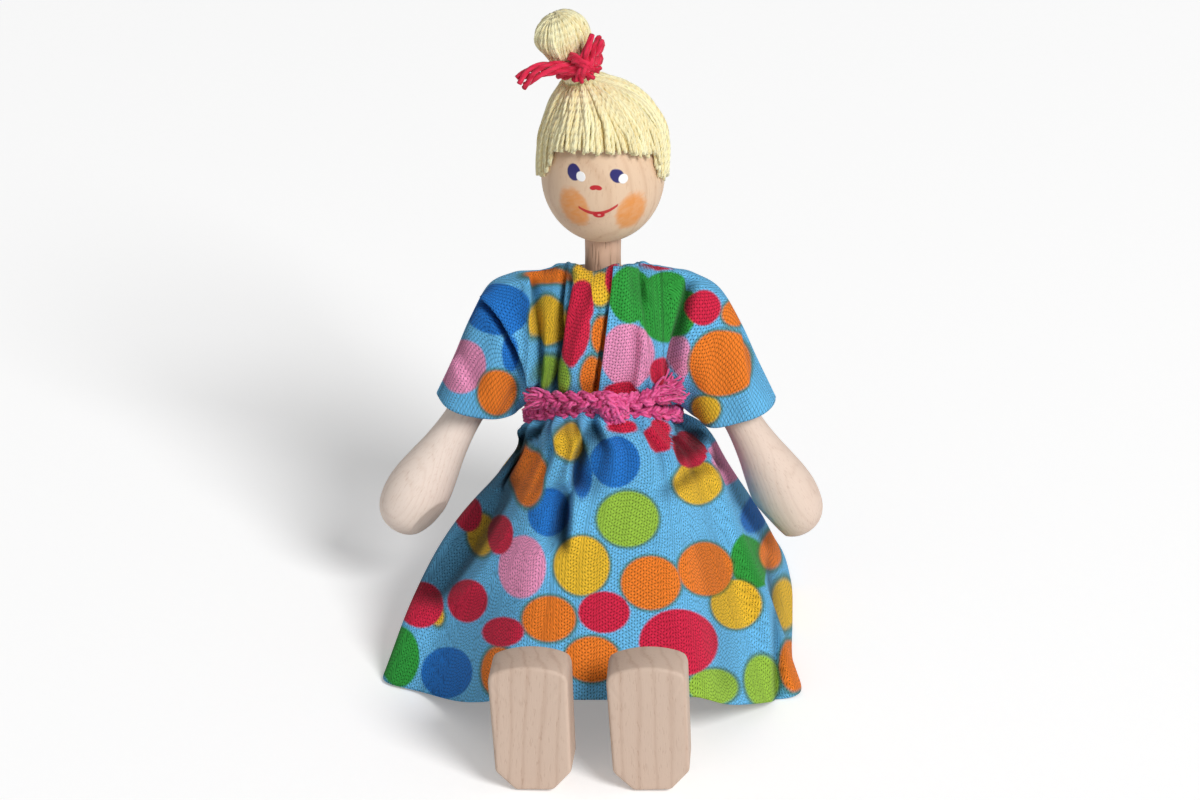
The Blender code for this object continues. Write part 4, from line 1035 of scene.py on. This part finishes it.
def build_top(side):
    """Half of the dress top: front and back panel sewn at the shoulder, the side and under the sleeve."""
    name = "left" if side > 0 else "right"
    front, dots = cloth_object(f"dress_top_{name}", *top_panel(side, False), 0, TOP_DOTS[side], 0, side > 0)
    behind, _ = cloth_object(f"dress_back_{name}", *top_panel(side, True), 0, {}, SPARE_BACK_DOTS,
                             side < 0, dots)
    whole = thicken(weld(gathered(f"dress_top_{name}", [front, behind]), 0.02))
    with bpy.context.temp_override(object=whole, active_object=whole):
        bpy.ops.object.modifier_apply(modifier=whole.modifiers[0].name)
    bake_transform(whole)
    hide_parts(*((f"{name}_sleeve", "bodice") if side > 0 else (f"{name}_sleeve",)))


# Yarn
def yarn(name, shades, ply_pitch):
    """Spun yarn: two plies that wind along each strand, loose fibres, and strands that differ in tone."""
    finish = Finish(name, Roughness=0.85, Specular_IOR_Level=0.25, Sheen_Weight=0.2, Sheen_Roughness=0.4)
    light, dark = (srgb(*shade) for shade in shades)
    flat = finish.flat_map()
    around, along, _ = finish.split(flat)
    wander = finish.noise(finish.vector("MULTIPLY", flat, (1.0, 0.5, 1.0)), 1.0)
    ply = finish.calc("SINE", (around * 2 + along / ply_pitch + wander) * TAU)
    fibres = finish.noise(finish.place(), 5.0, 3.0, 0.65)
    tone = finish.attribute("strand") * 0.5 + fibres * 0.55 + ply * 0.14 - 0.05
    colour = finish.mix(dark, light, tone.step(0.05, 0.75))
    return finish.finish(Base_Color=colour, Normal=finish.bump(ply * 0.6 + fibres, 0.07))


def tubes(name, paths, away, radius, material, sides):
    """Strands as closed tubes round paths of (strand, step, xyz), one side of each turned away.

    A point is the path's point plus the radius times cosine and sine of a turn in two directions across."""
    count, length = paths.shape[:2]
    side, up = axes_across(paths, away)
    turn = (np.arange(sides) * TAU / sides)[:, None]
    ring = np.cos(turn) * side[:, :, None] + np.sin(turn) * up[:, :, None]
    points = paths[:, :, None] + np.broadcast_to(radius, (count, length))[..., None, None] * ring
    rows, columns, quads = grid_quads(length, sides, True)
    flat = np.stack(np.broadcast_arrays(columns / sides, run_length(paths)[:, rows]), axis=-1)
    first = np.arange(count) * length * sides
    last = first + (length - 1) * sides
    ends = [tuple(range(start, start + sides)) for start in first.tolist()]
    ends += [tuple(range(start + sides - 1, start - 1, -1)) for start in last.tolist()]
    quads = (quads + first[:, None, None]).reshape(-1, 4)
    made = mesh_object(name, points, quads, material, flat.reshape(-1, 2), ends)
    point_values(made, "strand", np.repeat(chance.uniform(0, 1, count), length * sides))
    return made


def bundle(path, count, spread, turns, away):
    """Strands that wind round one path: each is the path plus a circle across it that turns along it."""
    side, up = axes_across(path, away)
    share = np.linspace(0, 1, len(path))
    phase = TAU * (np.arange(count)[:, None] / count + turns * share)
    wide = np.broadcast_to(spread, share.shape)[None, :, None]
    return path + wide * (np.cos(phase)[..., None] * side + np.sin(phase)[..., None] * up)


def closed_shell(name, points, wide, tall, material):
    """A round grid of points with both ends closed, and a flat map with quads of that size."""
    length, sides = points.shape[:2]
    rows, columns, quads = grid_quads(length, sides, True)
    flat = np.stack([columns * wide, rows * tall], axis=-1).reshape(-1, 2)
    ends = [tuple(range(sides - 1, -1, -1)), tuple(range((length - 1) * sides, length * sides))]
    return mesh_object(name, points, quads, material, flat, ends)


# Hair
def hair_surface(turn, angle, lift):
    """A dome round the head that leans to the gather at the crown.

    Radius and height are sine and cosine of the turn from the crown, taller above the middle than below. A
    squared sine makes the shoulder fuller, and the lean goes with the sixth power of the height."""
    upper = turn < math.pi / 2
    wide = HEAD_RADIUS + HAIR_SIDE + lift
    tall = np.where(upper, HEAD_ABOVE + HAIR_TOP, HEAD_BELOW + HAIR_SIDE) + lift
    radius = wide * np.sin(turn) * (1 + HAIR_FULL * np.where(upper, np.sin(2 * turn) ** 2, 0))
    height = tall * np.cos(turn)
    lean = -CROWN_SHIFT * np.clip(height / (HEAD_ABOVE + HAIR_TOP), 0, 1) ** 6
    return np.stack([radius * np.sin(angle) + lean, -radius * np.cos(angle), HEAD_Z + height], axis=-1)


def from_front(angle):
    """An angle in degrees between -180 and 180."""
    return np.degrees((angle + math.pi) % TAU - math.pi)


def hair_end(angle, spare):
    """The turn from the crown to the cut edge: the arc cosine of the edge's height, raised by spare."""
    edge = steps(HAIR_EDGE_ANGLES, HAIR_EDGE_HEIGHTS, from_front(angle)) + spare
    tall = np.where(edge > 0, HEAD_ABOVE + HAIR_TOP, HEAD_BELOW + HAIR_SIDE)
    return np.arccos(np.clip(edge / tall, -1, 1))


def strand_angles(count):
    """Even steps round the circle, each moved at random by up to 0.4 of a step."""
    return (np.arange(count)[:, None] + chance.uniform(-0.4, 0.4, (count, 1))) * TAU / count


def hair_layer(name, count, lift, material):
    """Strands from the gather to the cut edge.

    The turn from the crown grows evenly along a strand. Sines of the way passed and of the angle make it
    wave, clump with others towards its end and lie a little unevenly."""
    angle = strand_angles(count)
    share = np.linspace(0, 1, HAIR_STEPS)[None, :]
    start = chance.uniform(0.10, 0.16, (count, 1))
    turn = start + (hair_end(angle, chance.normal(0, 0.18, (count, 1))) - start) * share
    phase = chance.uniform(0, TAU, (count, 1))
    wave = 0.016 * np.sin(TAU * chance.uniform(1.0, 2.6, (count, 1)) * share + phase)
    clump = 0.040 * np.sin(29 * angle + 1.5 * np.sin(5 * angle)) * share
    swept = from_front(angle)
    sweep = 0.24 * bell(swept, 17, 7) * smooth(0.35, 1.0, share)
    uneven = 0.16 * np.sin(13 * angle + 2 * np.sin(3 * angle)) + chance.normal(0, 0.11, (count, 1))
    uneven = uneven * smooth(0.0, 0.3, share) + 0.10 * np.sin(TAU * 2.2 * share + 2 * phase)
    drawn_in = -0.5 * smooth(0.62, 1.0, share) * smooth(48, 75, np.abs(swept))
    paths = hair_surface(turn, angle + wave + clump + sweep, lift + uneven + drawn_in)
    away = unit(paths - np.array([0, 0, HEAD_Z]))
    radius = STRAND_RADIUS * (0.55 + 0.45 * smooth(0, 0.35, share)) * chance.uniform(0.85, 1.2, (count, 1))
    return tubes(name, paths, away, radius, material, 5)


def hair_base(material):
    """A thin cap below the strands, one of the hair's domes inside another, so that no wood shows."""
    angle = np.arange(CAP_SIDES)[None, :] * TAU / CAP_SIDES
    turn = 0.02 + (hair_end(angle, 0.5) - 0.02) * np.linspace(0, 1, CAP_STEPS)[:, None]
    points = np.concatenate([hair_surface(turn, angle, -0.42), hair_surface(turn, angle, -0.75)[::-1]])
    return closed_shell("hair_base", points, 60 / CAP_SIDES, 0.8, material)


def topknot_frame(points):
    """Points measured from the foot of the topknot, put in its leaning frame."""
    return topknot_turn(points) + np.array([-CROWN_SHIFT, 0, TOPKNOT_FOOT_Z])


def topknot_turn(directions):
    """Directions turned about Y by the topknot's lean."""
    return directions @ turn_matrix("Y", -TOPKNOT_LEAN).T


def topknot_profile(share):
    """Radius and height of the bulb at shares of the way from its foot to its top."""
    places = np.linspace(0, 1, len(TOPKNOT_HEIGHTS))
    return table(places, TOPKNOT_RADII, share), table(places, TOPKNOT_HEIGHTS, share)


def topknot_layer(name, count, lift, swirl, material):
    """Strands that run up the gathered bulb in a slow swirl and turn in at its top.

    Radius and height are the bulb's profile made uneven by sines, and the angle turns on the way up."""
    share = np.linspace(0, 1, HAIR_STEPS)[None, :]
    angle = strand_angles(count)
    phase = chance.uniform(0, TAU, (count, 1))
    angle = angle + swirl * share + 0.05 * np.sin(TAU * 1.7 * share + phase)
    uneven = lift + chance.normal(0, 0.10, (count, 1)) + 0.12 * np.sin(TAU * 1.3 * share + phase)
    radius, height = topknot_profile(share)
    radius = radius + uneven * smooth(1.0, 0.8, share)
    height = height + 0.5 * uneven * smooth(0.6, 1.0, share)
    radius = radius * (1 + 0.07 * np.cos(angle + 2.4) * smooth(0.3, 0.7, share))
    paths = np.stack([radius * np.cos(angle), radius * np.sin(angle), height], axis=-1)
    away = unit(paths - np.array([0, 0, 5.0]))
    thick = STRAND_RADIUS * (0.5 + 0.5 * smooth(1.0, 0.7, share)) * chance.uniform(0.85, 1.15, (count, 1))
    return tubes(name, topknot_frame(paths), topknot_turn(away), thick, material, 5)


def topknot_core(material):
    """The inside of the bulb: its profile, a little smaller, turned about its axis and closed."""
    radius, height = topknot_profile(np.linspace(0, 1, CORE_STEPS))
    profile = np.stack([np.maximum(radius - 0.3, 0.03), height - 0.15], axis=1)
    points, _ = revolved(profile[::-1], CORE_SIDES)
    return closed_shell("topknot_core", topknot_frame(points), 0.5, 0.5, material)


def build_tie(material):
    """Wool wound three times round the gather in a helix, with a knot in front, a tail, a loop and cut ends.

    Knot, tail, loop and ends are bundles along curves through given points."""
    ahead = np.array([0, -1, 0.0])
    wound = np.linspace(TIE_START, TIE_START + TIE_WINDS * TAU, 90)
    climb = np.linspace(0.9, 3.3, 90)
    coil = np.stack([TIE_RADIUS * np.cos(wound), TIE_RADIUS * np.sin(wound), climb], axis=1)
    tail, spike, loop = curve(TIE_TAIL, 30), curve(TIE_SPIKE, 24), curve(TIE_LOOP, 30)
    parts = [
        (bundle(coil, 3, 0.32, 9.0, (0, 0, 1.0)), 0.36),
        (bundle(tail, 5, np.linspace(0.45, 0.95, 30), 0.8, ahead), TIE_STRAND),
        (bundle(spike, 3, np.linspace(0.5, 0.16, 24), 0.5, ahead), np.linspace(0.42, 0.26, 24)),
        (bundle(loop, 2, 0.38, 1.2, ahead), TIE_STRAND),
    ]
    parts += [(bundle(curve(points, 26), 4, 0.42, 0.9, ahead), TIE_STRAND) for points in TIE_KNOT]
    bud_width = np.linspace(0.3, 0.42, 14)
    parts += [(bundle(curve(points, 14), 3, bud_width, 0.4, ahead), 0.34) for points in TIE_BUDS]
    made = []
    for number, (paths, radius) in enumerate(parts):
        away = topknot_turn(unit(paths - paths.mean(axis=0)))
        made.append(tubes(f"tie_{number}", topknot_frame(paths), away, radius, material, 7))
    return gathered("red_tie", made)


def build_hair():
    """Layers of straw yarn over the head and up the topknot, a base inside each in a darker straw that
    paints the shade between strands, and the tie.
    """
    straw = yarn("straw_yarn", STRAW, STRAW_PLY)
    # Base and core take a darker copy of the straw: painted shade seen between the strands
    shade = yarn("straw_yarn_painted_shade", STRAW_PAINTED_SHADE, STRAW_PLY)
    layers = [hair_layer(*layer, straw) for layer in HAIR_LAYERS]
    belongs(gathered("hair", layers), "head_body", "hair_cap", slot="straw_yarn")
    belongs(hair_base(shade), "head_body", slot="straw_yarn")
    layers = [topknot_layer(*layer, straw) for layer in TOPKNOT_LAYERS]
    belongs(gathered("topknot", layers), "head_body", "hair_topknot", slot="straw_yarn")
    belongs(topknot_core(shade), "head_body", slot="straw_yarn")
    tie = build_tie(yarn("red_yarn", RED_WOOL, RED_PLY))
    belongs(tie, "head_body", "hair_tie", "hair_tie_knot", slot="red_yarn")


# Braided belt
def belt_path(angles, layer, rise):
    """An oval round the waist, sine and cosine of the angle, out from the belt and above the waist line."""
    x, y = (BELT_WIDE + layer) * np.sin(angles), -(BELT_DEEP + layer) * np.cos(angles)
    return np.stack([x, y, WAIST_Z - waist_drop(angles) + rise], axis=-1)


def outwards(path):
    """Directions away from the upright middle of the body."""
    return unit(path * np.array([1, 1, 0]))


def braid(name, path, away, cord, across=0.72, deep=0.42, start=0.0):
    """Three twisted strands that cross each other, a third of a period apart.

    Each is a sine across the path, and one of twice that frequency out of it."""
    side, up = axes_across(path, away)
    run = run_length(path)
    phase = TAU * (run / BRAID_PERIOD + start + np.arange(3)[:, None] / 3)
    strands = path + across * np.sin(phase)[..., None] * side + deep * np.sin(2 * phase)[..., None] * up
    twisted = np.concatenate([bundle(strand, 3, 0.30, run[-1] / YARN_LAY, away) for strand in strands])
    loose = twisted + chance.normal(0, 0.05, twisted.shape)
    return tubes(name, loose, away, BRAID_YARN, cord, 5)


def frayed(end, toward, spread, length, count):
    """Loose fibres that fan out from the end of a cord: lines of random aim, bent by half a sine."""
    share = np.linspace(0, 1, FRAY_STEPS)[None, :, None]
    start = end + chance.normal(0, 0.45, (count, 1, 3)) * np.array([1.0, 0.6, 1.0])
    aim = toward + chance.uniform(-1, 1, (count, 1, 3)) * spread
    bend = chance.normal(0, 0.35, (count, 1, 3)) * np.sin(math.pi * share)
    return start + aim * share * length * chance.uniform(0.65, 1.1, (count, 1, 1)) + bend


def belt_knot(cord):
    """Cord passed over itself in front: braids along given points measured from the knot's middle."""
    centre = belt_path(np.array(KNOT_TURN), 0.9, 0.3)
    made = []
    for number, points in enumerate(BELT_KNOT):
        path = curve(points, KNOT_STEPS) + centre
        away = unit(path - centre - np.array([0, 2.0, 0]))
        made.append(braid(f"belt_knot_{number}", path, away, cord, 0.62, 0.4, 0.2 * number))
    return made


def build_belt():
    """Magenta cord round the waist, tied in front, with two ends above it that fan out in loose fibres."""
    cord = yarn("magenta_cord", MAGENTA, CORD_PLY)
    path = belt_path(np.linspace(KNOT_TURN, KNOT_TURN + TAU, BELT_STEPS), 0.0, -0.75)
    made = [braid("belt_round", path, outwards(path), cord)]
    climb = np.linspace(0, 1, BELT_END_STEPS)[:, None] ** 1.5
    for stop, rise, lift, fan, name in BELT_ENDS:
        turns = np.arcsin(np.linspace(KNOT_X, stop, BELT_END_STEPS) / (BELT_WIDE + 1.6))
        path = belt_path(turns, 1.0, rise) + climb * np.array([0, 0, lift])
        made.append(braid(f"belt_{name}", path, outwards(path), cord, 0.85, 0.5, 0.3))
        toward = unit(path[-1] - path[-8]) + np.array([0, -0.12, 0.10])
        fibres = frayed(path[-5], toward, FRAY_SPREAD * fan, 2.6 + 0.6 * fan, int(FRAY_COUNT * fan))
        thick = np.linspace(*FRAY_RADII, FRAY_STEPS)
        made.append(tubes(f"fray_{name}", fibres, np.array([0, -1, 0.2]), thick, cord, 4))
    made += belt_knot(cord)
    whole = gathered("belt_cord", made)
    belongs(whole, "torso_body", "belt", "belt_knot", "belt_left_end", "belt_right_end", slot="magenta_cord")


build_stage()
build_head()
for doll_side in (1, -1):
    build_arm(doll_side)
    build_foot(doll_side)
    build_top(doll_side)
finish_hidden_wood()
build_skirt()
build_hair()
build_belt()
